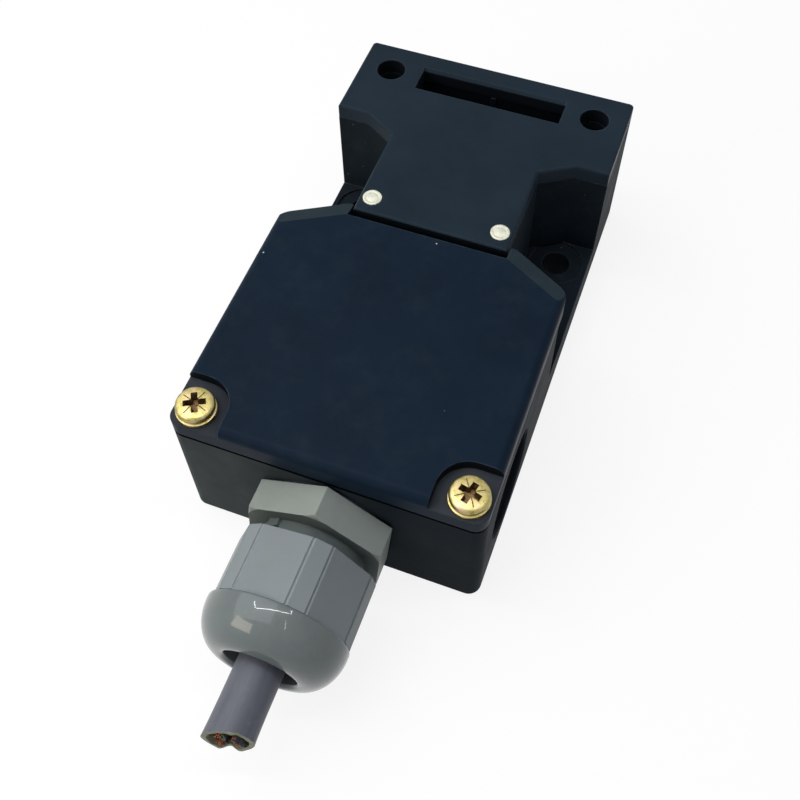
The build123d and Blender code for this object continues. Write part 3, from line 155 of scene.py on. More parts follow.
class NodeTree:
    """The node tree of a material or of the world, with short calls to add nodes."""

    def __init__(self, owner: bpy.types.ID) -> None:
        """Opens the tree of a material or a world."""
        owner.use_nodes = True
        self.owner = owner
        self.tree = owner.node_tree

    def feed(self, node: bpy.types.Node, feeds: Feeds) -> None:
        """Gives a node its inputs.

        Args:
            node: The node.
            feeds: A socket to link or a constant for each input.
        """
        for key, value in feeds.items():
            if isinstance(value, Socket):
                self.tree.links.new(value, node.inputs[key])
            else:
                node.inputs[key].default_value = value

    def node(self, kind: str, feeds: Feeds, operation: Optional[str] = None) -> bpy.types.Node:
        """Adds a node.

        Args:
            kind: Its type, without the first word.
            feeds: A socket to link or a constant for each input.
            operation: What it works out, where it has a choice.

        Returns:
            The node.
        """
        made = self.tree.nodes.new(f"ShaderNode{kind}")
        if operation is not None:
            made.operation = operation
        self.feed(made, feeds)
        return made

    def math(self, operation: str, *values: object) -> Socket:
        """Works out a number from sockets and constants."""
        return self.node("Math", dict(enumerate(values)), operation).outputs["Value"]


class NodeSheet(NodeTree):
    """A surface material, with short calls for the patterns that the finishes share."""

    def __init__(self, name: str) -> None:
        """Starts a material with its plain surface shader."""
        super().__init__(bpy.data.materials.new(name))
        self.place = self.node("TexCoord", {}).outputs["Object"]

    def surfaced(self, feeds: Feeds) -> bpy.types.Material:
        """Feeds the surface shader and returns the material."""
        self.feed(self.tree.nodes["Principled BSDF"], feeds)
        return self.owner

    def stretched(self, scale: Sequence[float]) -> Socket:
        """Scales the object's coordinates by factors along X, Y and Z."""
        return self.node("Mapping", {"Scale": scale, "Vector": self.place}).outputs["Vector"]

    def noise(
        self, size: float, detail: float = 3.0, roughness: float = 0.55,
        place: Optional[Socket] = None,
    ) -> Socket:
        """Adds cloudy noise.

        Args:
            size: The size of its largest features in metres.
            detail: The number of finer layers.
            roughness: How strong the finer layers are.
            place: The coordinates to read, the object's own where left out.

        Returns:
            The socket with values around 0.5.
        """
        feeds = {"Scale": 1.0 / size, "Detail": detail, "Roughness": roughness}
        return self.node("TexNoise", {**feeds, "Vector": place or self.place}).outputs["Fac"]

    def cells(self, size: float) -> bpy.types.Node:
        """Adds a cell pattern and returns its node."""
        return self.node("TexVoronoi", {"Scale": 1.0 / size, "Vector": self.place})

    def span(
        self, source: Socket, low: float, high: float, start: float = 0.0, end: float = 1.0
    ) -> Socket:
        """Maps a range of a pattern to another range and holds it inside.

        Args:
            source: The pattern.
            low: The value that becomes the start.
            high: The value that becomes the end.
            start: The first value of the result.
            end: The last value of the result.

        Returns:
            The socket with the result.
        """
        limits = {"From Min": low, "From Max": high, "To Min": start, "To Max": end}
        return self.node("MapRange", {**limits, "Value": source}).outputs["Result"]

    def aligned(self, source: Socket, direction: Union[Socket, Place]) -> Socket:
        """Measures a vector along a direction of length 1."""
        return self.node("VectorMath", {0: source, 1: direction}, "DOT_PRODUCT").outputs["Value"]

    def normal(self) -> Socket:
        """Returns the socket with the surface's normal."""
        return self.node("NewGeometry", {}).outputs["Normal"]

    def along(self, direction: Place, low: float, high: float) -> Socket:
        """Measures the object's coordinates along a direction and maps them to 0 to 1."""
        return self.span(self.aligned(self.place, direction), low, high)

    def ramp(self, source: Socket, stops: Sequence[tuple[float, Colour]]) -> Socket:
        """Colours a pattern.

        Args:
            source: The pattern.
            stops: Places from 0 to 1 and their colours, at least two.

        Returns:
            The socket with the colour.
        """
        node = self.node("ValToRGB", {"Fac": source})
        marks = node.color_ramp.elements
        while len(marks) < len(stops):
            marks.new(0.5)
        for mark, (position, colour) in zip(marks, stops):
            mark.position = position
            mark.color = (*colour, 1.0)
        return node.outputs["Color"]

    def laid_over(self, below: Socket, above: Colour, mask: Socket) -> Socket:
        """Lays one colour over a coloured pattern where a mask says so.

        Args:
            below: The pattern underneath.
            above: The colour on top.
            mask: Where the upper colour shows, from 0 to 1.

        Returns:
            The socket with the mixed colour.
        """
        node = self.node("Mix", {})
        node.data_type = "RGBA"
        self.feed(node, {0: mask, 6: below, 7: (*above, 1.0)})
        return node.outputs[2]

    def edge_mask(self, radius: float) -> tuple[Socket, Socket]:
        """Finds sharp edges by comparing the surface with a rounded one.

        Args:
            radius: The radius of the rounding in metres.

        Returns:
            The mask, 1 on an edge, and the rounded normal.
        """
        rounded = self.node("Bevel", {"Radius": radius})
        rounded.samples = 4
        turned = self.aligned(rounded.outputs["Normal"], self.normal())
        return self.span(turned, 0.995, 0.86), rounded.outputs["Normal"]

    def relief(self, height: Socket, depth: float, normal: Optional[Socket] = None) -> Socket:
        """Turns a pattern into a surface relief.

        Args:
            height: The pattern.
            depth: The height of its full range in metres.
            normal: The normal that it is laid on.

        Returns:
            The socket with the new normal.
        """
        base = {} if normal is None else {"Normal": normal}
        return self.node("Bump", {"Distance": depth, "Height": height, **base}).outputs["Normal"]


@dataclass(frozen=True)
class MouldedPlastic:
    """Injection-moulded plastic: cloudy tone, moulded grain, dust specks and painted highlights on
    the edges; where set, dust with painted light and a band of painted shade at the seam.
    """

    name: str
    colour: Colour
    roughness: float
    specular: float = 0.5
    tone_change: float = 0.12
    cloud_size: float = 11 * MM
    grain_size: float = 0.35 * MM
    grain_depth: float = 0.012 * MM
    edge_radius: float = 0.28 * MM
    edge_highlight_colour: Optional[Colour] = None
    edge_highlight_patch_size: float = 1.6 * MM
    speck_colour: Optional[Colour] = None
    speck_spacing: float = 5.0 * MM
    film_colour: Optional[Colour] = None
    film_share: float = 0.35
    film_size: float = 4.5 * MM
    coat: float = 0.0
    coat_roughness: float = 0.03
    dust_and_light_colour: Optional[Colour] = None
    dust_and_light_size: float = 7 * MM
    dust_and_light_span: tuple[float, float] = (12 * MM, -16 * MM)
    dust_and_light_from: float = -80 * MM
    joint: Optional[tuple[float, float]] = None
    seam_shade_from: float = -36 * MM
    seam_shade_colour: Colour = (0.0015, 0.0018, 0.0024)

    def material(self) -> bpy.types.Material:
        """Builds the material and returns it."""
        sheet = NodeSheet(self.name)
        cloud = sheet.noise(self.cloud_size, 4.0, 0.6)
        darker = scaled(self.colour, 1 - self.tone_change)
        lighter = scaled(self.colour, 1 + self.tone_change)
        shade = sheet.ramp(cloud, [(0.32, darker), (0.68, lighter)])
        mask, rounded = sheet.edge_mask(self.edge_radius)
        if self.film_colour is not None:
            haze = sheet.noise(self.film_size, 6.0, 0.7)
            film = sheet.span(haze, 0.48, 0.78, 0.0, self.film_share)
            shade = sheet.laid_over(shade, self.film_colour, film)
        # Dust with painted light: a paler grey on faces towards the cable, stronger to the left.
        if self.dust_and_light_colour is not None:
            shade = sheet.laid_over(shade, self.dust_and_light_colour, self.dust_and_light_mask(sheet))
        if self.speck_colour is not None:
            cell = sheet.cells(self.speck_spacing)
            dot = sheet.span(cell.outputs["Distance"], 0.030, 0.016)
            chosen = sheet.span(cell.outputs["Color"], 0.52, 0.54)
            shade = sheet.laid_over(shade, self.speck_colour, sheet.math("MULTIPLY", dot, chosen))
        # Painted highlight: a paler colour in patches along sharp edges, standing in for edge
        # glints.
        if self.edge_highlight_colour is not None:
            patchy = sheet.span(sheet.noise(self.edge_highlight_patch_size, 3.0), 0.34, 0.62, 0.15, 0.8)
            shade = sheet.laid_over(shade, self.edge_highlight_colour, sheet.math("MULTIPLY", mask, patchy))
        # Painted shade: a near-black band along the seam, where the cover shades the housing's
        # rim.
        if self.joint is not None:
            shade = sheet.laid_over(shade, self.seam_shade_colour, self.seam_shade_mask(sheet, *self.joint))
        fine = sheet.noise(self.grain_size, 3.0, 0.6)
        grain = sheet.math("MULTIPLY_ADD", cloud, 0.5, fine)
        dull = sheet.span(cloud, 0.3, 0.7, self.roughness - 0.05, self.roughness + 0.06)
        return sheet.surfaced({
            "Base Color": shade,
            "Normal": sheet.relief(grain, self.grain_depth, rounded),
            "Roughness": dull,
            "Specular IOR Level": self.specular,
            "Coat Weight": self.coat,
            "Coat Roughness": self.coat_roughness,
        })

    def dust_and_light_mask(self, sheet: NodeSheet) -> Socket:
        """Finds where dust and painted light lie on the face by the gland, growing towards the
        left.

        Args:
            sheet: The material's nodes.

        Returns:
            The socket with the mask.
        """
        across = sheet.along((1, 0, 0), *self.dust_and_light_span)
        patchy = sheet.span(sheet.noise(self.dust_and_light_size, 5.0, 0.65), 0.30, 0.70, 0.62, 1.0)
        facing = sheet.span(sheet.aligned(sheet.normal(), (0, -1, 0)), 0.75, 0.95)
        settled = sheet.math("MULTIPLY", sheet.math("MULTIPLY", across, patchy), facing)
        return sheet.math("MULTIPLY", settled, self.nearer(sheet, self.dust_and_light_from))

    def seam_shade_mask(self, sheet: NodeSheet, low: float, high: float) -> Socket:
        """Finds the band of painted shade in the seam between the housing and the cover.

        Args:
            sheet: The material's nodes.
            low: Its lower edge along Z, in metres.
            high: Its upper edge along Z, in metres.

        Returns:
            The socket with the mask.
        """
        above = sheet.along((0, 0, 1), low, low + 0.12 * MM)
        below = sheet.along((0, 0, 1), high, high - 0.12 * MM)
        between = sheet.math("MULTIPLY", above, below)
        return sheet.math("MULTIPLY", between, self.nearer(sheet, self.seam_shade_from))

    def nearer(self, sheet: NodeSheet, y: float) -> Socket:
        """Finds what lies on the cable's side of a place along Y."""
        return sheet.along((0, 1, 0), y, y - 1.0 * MM)


@dataclass(frozen=True)
class Metal:
    """A metal surface: tone patches, fine scratches along one direction and small pits."""

    name: str
    colours: tuple[Colour, ...]
    roughness: float
    patch_size: float = 1.2 * MM
    scratch_stretch: tuple[float, float, float] = (1.0, 6.0, 1.0)
    scratch_size: float = 0.12 * MM
    scratch_depth: float = 0.006 * MM
    pit_size: float = 0.3 * MM
    edge_radius: float = 0.12 * MM

    def material(self) -> bpy.types.Material:
        """Builds the material and returns it."""
        sheet = NodeSheet(self.name)
        patches = sheet.noise(self.patch_size, 4.0, 0.65)
        shade = sheet.ramp(patches, list(zip((0.30, 0.50, 0.70), self.colours)))
        pits = sheet.span(sheet.noise(self.pit_size, 2.0), 0.70, 0.78, 0.0, 0.55)
        lines = sheet.noise(self.scratch_size, 2.0, 0.5, sheet.stretched(self.scratch_stretch))
        _, rounded = sheet.edge_mask(self.edge_radius)
        bright, dull = self.roughness - 0.07, self.roughness + 0.10
        return sheet.surfaced({
            "Base Color": sheet.laid_over(shade, scaled(self.colours[0], 0.35), pits),
            "Normal": sheet.relief(lines, self.scratch_depth, rounded),
            "Roughness": sheet.span(patches, 0.25, 0.75, bright, dull),
            "Metallic": 1.0,
        })


@dataclass(frozen=True)
class Rubber:
    """Matt black rubber with a fine bloom."""

    name: str
    colour: Colour
    bloom: Colour
    roughness: float = 0.72

    def material(self) -> bpy.types.Material:
        """Builds the material and returns it."""
        sheet = NodeSheet(self.name)
        cloud = sheet.noise(2.2 * MM, 5.0, 0.7)
        return sheet.surfaced({
            "Base Color": sheet.ramp(cloud, [(0.35, self.colour), (0.8, self.bloom)]),
            "Normal": sheet.relief(sheet.noise(0.2 * MM, 3.0), 0.015 * MM),
            "Roughness": sheet.span(cloud, 0.3, 0.7, self.roughness - 0.08, self.roughness + 0.08),
            "Specular IOR Level": 0.3,
        })


@dataclass(frozen=True)
class CableSheath:
    """Drawn plastic insulation: streaks along the run, scuffs and a soft sheen."""

    name: str
    colour: Colour
    scuff: Colour
    roughness: float = 0.42

    def material(self) -> bpy.types.Material:
        """Builds the material and returns it."""
        sheet = NodeSheet(self.name)
        streaks = sheet.noise(0.9 * MM, 4.0, 0.6, sheet.stretched((1.0, 0.12, 1.0)))
        tones = [(0.3, scaled(self.colour, 0.86)), (0.7, scaled(self.colour, 1.1))]
        scuffs = sheet.span(sheet.noise(2.6 * MM, 5.0, 0.72), 0.56, 0.72, 0.0, 0.45)
        height = sheet.math("MULTIPLY_ADD", streaks, 0.8, sheet.noise(0.45 * MM, 3.0, 0.6))
        return sheet.surfaced({
            "Base Color": sheet.laid_over(sheet.ramp(streaks, tones), self.scuff, scuffs),
            "Normal": sheet.relief(height, 0.03 * MM),
            "Roughness": sheet.span(scuffs, 0.0, 0.45, self.roughness, self.roughness + 0.18),
            "Specular IOR Level": 0.2,
        })


Finish = Union[MouldedPlastic, Metal, Rubber, CableSheath]


class Shop:
    """Builds each finish once and hands the same material to every piece that has it."""

    # SEAM is the height of the band of painted shade between the housing and the cover.
    SEAM = (24.72 * MM, 25.60 * MM)
    # The edge colours of these finishes are painted highlights on the edges.
    HOUSING = MouldedPlastic(
        "housing_black", (0.0090, 0.0135, 0.0185), 0.52, specular=0.012,
        grain_size=0.30 * MM, grain_depth=0.010 * MM, joint=SEAM,
        edge_highlight_colour=tint("434b4f"), speck_colour=tint("8f9899"), speck_spacing=3.0 * MM,
        # The dust colour is dust with painted light on the face by the gland.
        film_colour=tint("2b3437"), film_share=0.30, dust_and_light_colour=tint("3e4447"),
    )
    POCKET = MouldedPlastic(
        "pocket_dust", tint("30343a"), 0.60, specular=0.03, tone_change=0.25,
        speck_colour=tint("8f9899"), speck_spacing=1.8 * MM,
        film_colour=tint("383c40"), film_share=0.6,
    )
    # Painted shade: near-black for the rim under the cover and the cover's underside.
    SEAM_SHADE = MouldedPlastic(
        "seam_painted_shade", (0.0016, 0.0020, 0.0028), 0.85, specular=0.0, tone_change=0.3
    )
    # Painted shade: a darker black for bores, openings and the walls of the screw pockets.
    HOLLOW_SHADE = MouldedPlastic(
        "hollow_painted_shade", (0.0034, 0.0050, 0.0078), 0.60, specular=0.06,
        edge_highlight_colour=tint("262c33"), film_colour=tint("12171d"), film_share=0.25,
    )
    COVER = MouldedPlastic(
        "cover_black", (0.0048, 0.0115, 0.0235), 0.44, specular=0.04,
        grain_size=0.22 * MM, grain_depth=0.006 * MM, joint=SEAM,
        edge_highlight_colour=tint("4a565d"), speck_colour=tint("a9b2b4"), speck_spacing=6.0 * MM,
        film_colour=tint("27323b"), film_share=0.25,
    )
    # Painted light: a lighter copy of the cover's finish for its sloping corners at the head end.
    FACET_LIGHT = MouldedPlastic(
        "cover_facet_painted_light", (0.0150, 0.0250, 0.0330), 0.48, specular=0.04,
        grain_size=0.22 * MM, grain_depth=0.006 * MM,
        edge_highlight_colour=tint("4a565d"), film_colour=tint("343f45"), film_share=0.35,
    )
    PLATE = MouldedPlastic(
        "plate_black", (0.0115, 0.0205, 0.0310), 0.40, specular=0.04,
        grain_size=0.16 * MM, grain_depth=0.004 * MM,
        edge_highlight_colour=tint("4c585f"), speck_colour=tint("c2c8c8"), speck_spacing=8.0 * MM,
    )
    HEX_GREY = MouldedPlastic(
        "gland_grey", tint("818884"), 0.50, specular=0.14, tone_change=0.05,
        grain_size=0.25 * MM, grain_depth=0.010 * MM,
        edge_highlight_colour=tint("989d97"), film_colour=tint("6f746c"), film_share=0.30,
    )
    # Painted shade: a darker grey for the hexagon's front and for the neck in its shadow.
    NECK_SHADE = MouldedPlastic(
        "gland_neck_painted_shade", tint("535b5a"), 0.62, specular=0.15,
        film_colour=tint("39403f"), film_share=0.5,
    )
    NUT_GREY = MouldedPlastic(
        "nut_grey", tint("787f83"), 0.40, specular=0.16, tone_change=0.05,
        grain_size=0.30 * MM, grain_depth=0.006 * MM,
        edge_highlight_colour=tint("949c9f"), film_colour=tint("72766d"), film_share=0.30,
    )
    DOME_GREY = MouldedPlastic(
        "nut_dome_grey", tint("5d6567"), 0.22, specular=0.14, tone_change=0.05,
        grain_size=1.4 * MM, grain_depth=0.006 * MM,
        film_colour=tint("727368"), film_share=0.45, coat=0.50,
    )
    ROTOR = MouldedPlastic(
        "rotor_plastic", tint("3c4045"), 0.38, edge_highlight_colour=tint("6a6f74")
    )
    ACETAL = MouldedPlastic(
        "plunger_plastic", tint("d8d3c4"), 0.38, tone_change=0.04,
        film_colour=tint("b3ab98"), film_share=0.25,
    )
    BLOCK = MouldedPlastic(
        "block_plastic", tint("c8c2b0"), 0.50, tone_change=0.05,
        edge_highlight_colour=tint("ded9ca"), film_colour=tint("a19a86"), film_share=0.3,
    )
    RIVET = Metal(
        "rivet_white_metal", tints("a6a79a", "b9baad", "c8c8bd"), 0.62, patch_size=0.9 * MM
    )
    YELLOW_ZINC = Metal(
        "yellow_zinc", tints("7f763f", "aa9e68", "bfa28c"), 0.34, patch_size=1.1 * MM,
        scratch_size=0.16 * MM, scratch_depth=0.010 * MM,
    )
    ZINC_RECESS = Metal(
        "zinc_in_recess", tints("43301f", "66513a", "8a7650"), 0.50, patch_size=0.5 * MM
    )
    COPPER = Metal("copper", tints("5c2c1c", "90502d", "b97844"), 0.44, patch_size=0.5 * MM)
    STEEL = Metal(
        "ground_steel", tints("9a9ca0", "b4b6b9", "c8cacc"), 0.28, scratch_stretch=(6.0, 1.0, 1.0)
    )
    SPRING = Metal(
        "spring_steel", tints("7f8286", "a3a6aa", "bcbfc2"), 0.30, scratch_stretch=(1.0, 1.0, 1.0)
    )
    TERMINAL = Metal("terminal_steel", tints("9fa09a", "b9bab2", "cfd0c9"), 0.30)
    BRASS = Metal("contact_brass", tints("a58040", "c9a35c", "dcbd7c"), 0.28)
    INSERT_BRASS = Metal("insert_brass", tints("9c7a3a", "bf9b58", "d3b478"), 0.36)
    RUBBER = Rubber("black_rubber", (0.003, 0.004, 0.009), (0.010, 0.012, 0.024))
    SHEATH = CableSheath("cable_grey", *tints("595c66", "73757b"))
    SHEATH_CUT = CableSheath("cable_cut_rim", *tints("7d7f6e", "a3a48c"), roughness=0.6)
    CORE_GREEN = CableSheath("core_dark_green", *tints("1d3532", "35504a"))
    CORE_BLACK = CableSheath("core_black", *tints("17181b", "33343a"))
    CORE_BROWN = CableSheath("core_brown", *tints("3b2420", "59402f"))
    CORE_GREY = CableSheath("core_grey", *tints("44434c", "605e66"))

    def __init__(self) -> None:
        """Starts with no material made."""
        self.made: dict[str, bpy.types.Material] = {}

    def finish(self, recipe: Finish) -> bpy.types.Material:
        """Returns the material of a recipe, made on first use.

        Args:
            recipe: One of the finishes above.

        Returns:
            The material.
        """
        if recipe.name not in self.made:
            self.made[recipe.name] = recipe.material()
        return self.made[recipe.name]


class Joinery:
    """Makes and finishes the meshes of pieces."""

    def __init__(self, shop: Shop) -> None:
        """Keeps the shop that the materials come from."""
        self.shop = shop
        self.count = 0

    def copy_of(self, node: str) -> Mesh:
        """Copies a node's mesh, with its loose triangles joined into flat faces.

        Args:
            node: The node's name.

        Returns:
            The copy.
        """
        mesh = bmesh.new()
        mesh.from_mesh(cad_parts[node].data)
        bmesh.ops.remove_doubles(mesh, verts=mesh.verts, dist=MERGE_DISTANCE)
        bmesh.ops.dissolve_limit(
            mesh,
            angle_limit=FLAT_ANGLE,
            use_dissolve_boundaries=False,
            verts=mesh.verts,
            edges=mesh.edges,
        )
        return mesh

    def spun(
        self, profile: Profile, centre: Vector, axis: Vector, steps: int,
        turns: float = 1.0, advance: float = 0.0, closed: bool = True, merged: bool = True,
    ) -> Mesh:
        """Spins a profile about an axis.

        Args:
            profile: Radius and distance along the axis of each corner.
            centre: The point that the distances start from.
            axis: The direction of the axis, of length 1.
            steps: The number of steps in all.
            turns: The number of turns.
            advance: How far one step goes along the axis.
            closed: Whether the last corner joins the first.
            merged: Whether the last step joins the first.

        Returns:
            The spun mesh.
        """
        side = axis.orthogonal().normalized()
        mesh = bmesh.new()
        corners = [
            mesh.verts.new((centre + side * radius + axis * along) * MM)
            for radius, along in profile
        ]
        after = corners[1:] + (corners[:1] if closed else [])
        edges = [mesh.edges.new(pair) for pair in zip(corners, after)]
        bmesh.ops.spin(
            mesh,
            geom=corners + edges,
            cent=centre * MM,
            axis=axis,
            dvec=axis * advance * MM,
            angle=math.tau * turns,
            steps=steps,
            use_merge=merged,
            use_normal_flip=False,
            use_duplicate=False,
        )
        return mesh

    def turned(
        self, profile: Profile, centre: Vector, axis: Vector, steps: int, closed: bool = True
    ) -> Mesh:
        """Turns a profile once round an axis.

        Args:
            profile: Radius and distance along the axis of each corner.
            centre: The point that the distances start from.
            axis: The direction of the axis.
            steps: The number of steps round.
            closed: Whether the last corner joins the first.

        Returns:
            The turned mesh.
        """
        mesh = self.spun(profile, centre, axis, steps, closed=closed)
        bmesh.ops.remove_doubles(mesh, verts=mesh.verts, dist=MERGE_DISTANCE)
        bmesh.ops.recalc_face_normals(mesh, faces=mesh.faces)
        return mesh

    def coiled(
        self, profile: Profile, centre: Vector, axis: Vector, pitch: float, turns: float,
        steps: int,
    ) -> Mesh:
        """Sweeps a closed profile along a helix.

        Args:
            profile: Radius and distance along the axis of each corner.
            centre: The start of the axis.
            axis: The direction of the axis.
            pitch: The advance of one turn.
            turns: The number of turns.
            steps: The number of steps in a turn.

        Returns:
            The swept mesh, with closed ends.
        """
        total = max(1, round(steps * turns))
        mesh = self.spun(profile, centre, axis, total, turns, pitch * turns / total, merged=False)
        bmesh.ops.holes_fill(mesh, edges=mesh.edges, sides=len(profile))
        bmesh.ops.recalc_face_normals(mesh, faces=mesh.faces)
        return mesh

    def rounded_ring(
        self, mesh: Mesh, centre: Vector, axis: Vector, corner: tuple[float, float],
        size: float, segments: int,
    ) -> None:
        """Rounds the ring of edges at one corner of a turned profile.

        Args:
            mesh: The turned mesh.
            centre: The point that the distances start from.
            axis: The direction of the axis.
            corner: The corner's radius and its distance along the axis.
            size: The size of the rounding.
            segments: The number of faces across it.
        """
        def on_ring(vertex: bmesh.types.BMVert) -> bool:
            """Tells whether a vertex belongs to the ring."""
            offset = vertex.co / MM - centre
            height = offset.dot(axis)
            distance = (offset - axis * height).length
            return abs(height - corner[1]) < 0.01 and abs(distance - corner[0]) < 0.01

        ring = [edge for edge in mesh.edges if all(on_ring(vertex) for vertex in edge.verts)]
        bmesh.ops.bevel(
            mesh,
            geom=ring,
            offset=size * MM,
            offset_type="OFFSET",
            segments=segments,
            profile=0.5,
            affect="EDGES",
            material=-1,
        )

    def wire(self, mesh: Mesh, path: Sequence[Vector], radius: float, sides: int) -> None:
        """Adds a round wire that runs along Y through a few points.

        Args:
            mesh: The mesh that gets the wire.
            path: The middle of each ring.
            radius: The wire's radius.
            sides: The number of faces round it.
        """
        rings = []
        for point in path:
            ring = []
            for index in range(sides):
                angle = math.tau * index / sides
                offset = Vector((math.cos(angle), 0, math.sin(angle))) * radius
                ring.append(mesh.verts.new((point + offset) * MM))
            rings.append(ring)
        for near, far in zip(rings, rings[1:]):
            for index in range(sides):
                after = (index + 1) % sides
                mesh.faces.new((near[index], near[after], far[after], far[index]))
        mesh.faces.new(rings[0])
        mesh.faces.new(rings[-1])

    def carved(self, base: Mesh, cutters: Iterable[Mesh]) -> Mesh:
        """Cuts solids out of a base, one after another.

        Args:
            base: The closed mesh that is cut.
            cutters: The closed meshes that are taken away.

        Returns:
            The result. Its cut faces have the material index 1.
        """
        body = object_of(base, "carved_body")
        helpers = []
        for cutter in cutters:
            for face in cutter.faces:
                face.material_index = 1
            helper = object_of(cutter, "carving_tool")
            step = body.modifiers.new("cut", "BOOLEAN")
            step.operation = "DIFFERENCE"
            step.solver = "EXACT"
            step.object = helper
            step.material_mode = "INDEX"
            helpers.append(helper)
        for made in [body, *helpers]:
            for _ in range(2):
                made.data.materials.append(None)
        bpy.context.view_layer.update()
        shown = body.evaluated_get(bpy.context.evaluated_depsgraph_get())
        result = bmesh.new()
        result.from_mesh(shown.to_mesh())
        shown.to_mesh_clear()
        for made in [body, *helpers]:
            data = made.data
            bpy.data.objects.remove(made)
            bpy.data.meshes.remove(data)
        return result

    def piece(
        self, mesh: Mesh, name: str, recipes: Sequence[Finish], slot: str,
        replaces: Sequence[str] = (), body: Optional[Body] = Body.BASE,
        bevel: float = 0.0, segments: int = 2, sharp: float = 32.0,
    ) -> bpy.types.Object:
        """Finishes a piece: its edges, shading, materials, body and record slot.

        Args:
            mesh: The piece's mesh, which is freed.
            name: The piece's name.
            recipes: The finishes, in the order of the faces' material indices.
            slot: The record's material slot, which is not used.
            replaces: The nodes that it stands for.
            body: The body that it rides on, or None where it bends between two.
            bevel: The width of the modifier's bevel.
            segments: The number of faces across that bevel.
            sharp: The angle in degrees above which an edge stays sharp.

        Returns:
            The piece.
        """
        made = object_of(mesh, name)
        for recipe in recipes:
            made.data.materials.append(self.shop.finish(recipe))
        made.data.polygons.foreach_set("use_smooth", [True] * len(made.data.polygons))
        made.data.set_sharp_from_angle(angle=math.radians(sharp))
        if bevel:
            rounding = made.modifiers.new("edges", "BEVEL")
            rounding.width = bevel * MM
            rounding.segments = segments
            rounding.limit_method = "ANGLE"
            rounding.angle_limit = math.radians(sharp)
            rounding.use_clamp_overlap = True
            rounding.miter_outer = "MITER_ARC"
            shading = made.modifiers.new("shading", "WEIGHTED_NORMAL")
            shading.mode = "FACE_AREA"
            shading.weight = 80
            shading.keep_sharp = True
        if body is not None:
            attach(made, body.value)
        if replaces:
            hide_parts(*replaces)
        self.count += 1
        LOG.info("piece %s: %d faces", name, len(made.data.polygons))
        return made

    def dress(self, recipe: Finish, *nodes: str) -> None:
        """Gives carried-over nodes their finish.

        Args:
            recipe: The finish.
            nodes: The nodes' names.
        """
        for node in nodes:
            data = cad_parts[node].data
            data.materials.clear()
            data.materials.append(self.shop.finish(recipe))
            LOG.info("node %s: %s", node, recipe.name)


@dataclass
class Housing:
    """The moulded housing with its head plate and rivets."""

    joinery: Joinery
    edge: float = 0.18
    plate_edge: float = 0.12
    rivet_x: float = 11.7
    rivet_y: float = -31.5
    back_wall: float = 2.0
    rim: float = 25.0
    rim_end: float = -36.0
    plate_low: float = 27.0
    plate_top: float = 30.0
    rivet_head: float = 1.7
    rivet_shank: float = 1.1
    rivet_depth: float = 8.5
    rivet_proud: float = 0.15

    def build(self) -> None:
        """Builds every piece of the housing."""
        joinery = self.joinery
        joinery.piece(
            zoned(joinery.copy_of("housing"), self.shell_zone), "housing_shell",
            [Shop.HOUSING, Shop.SEAM_SHADE, Shop.HOLLOW_SHADE], "housing_black",
            replaces=["housing"], bevel=self.edge,
        )
        joinery.piece(
            zoned(joinery.copy_of("head_cover_plate"), self.plate_zone), "head_plate",
            [Shop.PLATE, Shop.HOLLOW_SHADE], "plate_black",
            replaces=["head_cover_plate"], bevel=self.plate_edge,
        )
        for index, side in enumerate((-1, 1), start=1):
            joinery.piece(
                self.rivet(side), f"plate_rivet_{index}", [Shop.RIVET], "rivet_metal",
                replaces=["plate_rivets"] if index == 1 else [],
            )

    def shell_zone(self, middle: Vector, normal: Vector) -> int:
        """Finds the zone of a face of the housing.

        Args:
            middle: The middle of the face.
            normal: The way that it faces.

        Returns:
            1 for the rim under the cover and 2 in a bore, the slot or the hollow, both given
            painted shade, 0 elsewhere.
        """
        if normal.z > 0.9 and abs(middle.z - self.rim) < 0.1 and middle.y < self.rim_end:
            return 1
        bored = abs(normal.z) < 0.999 and self.back_wall < middle.z < self.rim - 0.1
        walls = abs(middle.x) < 25.2 and -82.9 < middle.y < self.rim_end
        slot = abs(middle.x) < 16.0 and -9.0 < middle.y < 6.3
        return 2 if bored and (walls or slot) else 0

    def plate_zone(self, middle: Vector, normal: Vector) -> int:
        """Finds the zone of a face of the head plate.

        Args:
            middle: The middle of the face.
            normal: The way that it faces.

        Returns:
            1, painted shade, in an opening and at the end by the cover, 0 elsewhere.
        """
        within = abs(middle.x) < 25.5 and -8.0 < middle.y < 6.2
        end = normal.y < -0.8 and middle.y < -33.0
        lower = abs(normal.z) < 0.7 and middle.z < self.plate_top - 0.4
        return 1 if lower and (within or end) else 0

    def rivet(self, side: int) -> Mesh:
        """Makes a drive rivet with a shallow turned ring in its head.

        Args:
            side: -1 for the left rivet, 1 for the right one.

        Returns:
            The rivet.
        """
        top = self.plate_top - self.plate_low + self.rivet_proud
        centre = Vector((side * self.rivet_x, self.rivet_y, self.plate_low))
        head, shank, depth = self.rivet_head, self.rivet_shank, self.rivet_depth
        profile = [
            (0.0, top), (1.02, top - 0.005), (1.07, top - 0.03), (1.13, top - 0.03),
            (1.18, top - 0.005), (head, top - 0.02), (head, 0.0), (shank, 0.0),
            (shank, -depth), (0.0, -depth),
        ]
        mesh = self.joinery.turned(profile, centre, OUT_OF_FRONT, 48, closed=False)
        self.joinery.rounded_ring(mesh, centre, OUT_OF_FRONT, (head, top - 0.02), 0.10, 3)
        return mesh


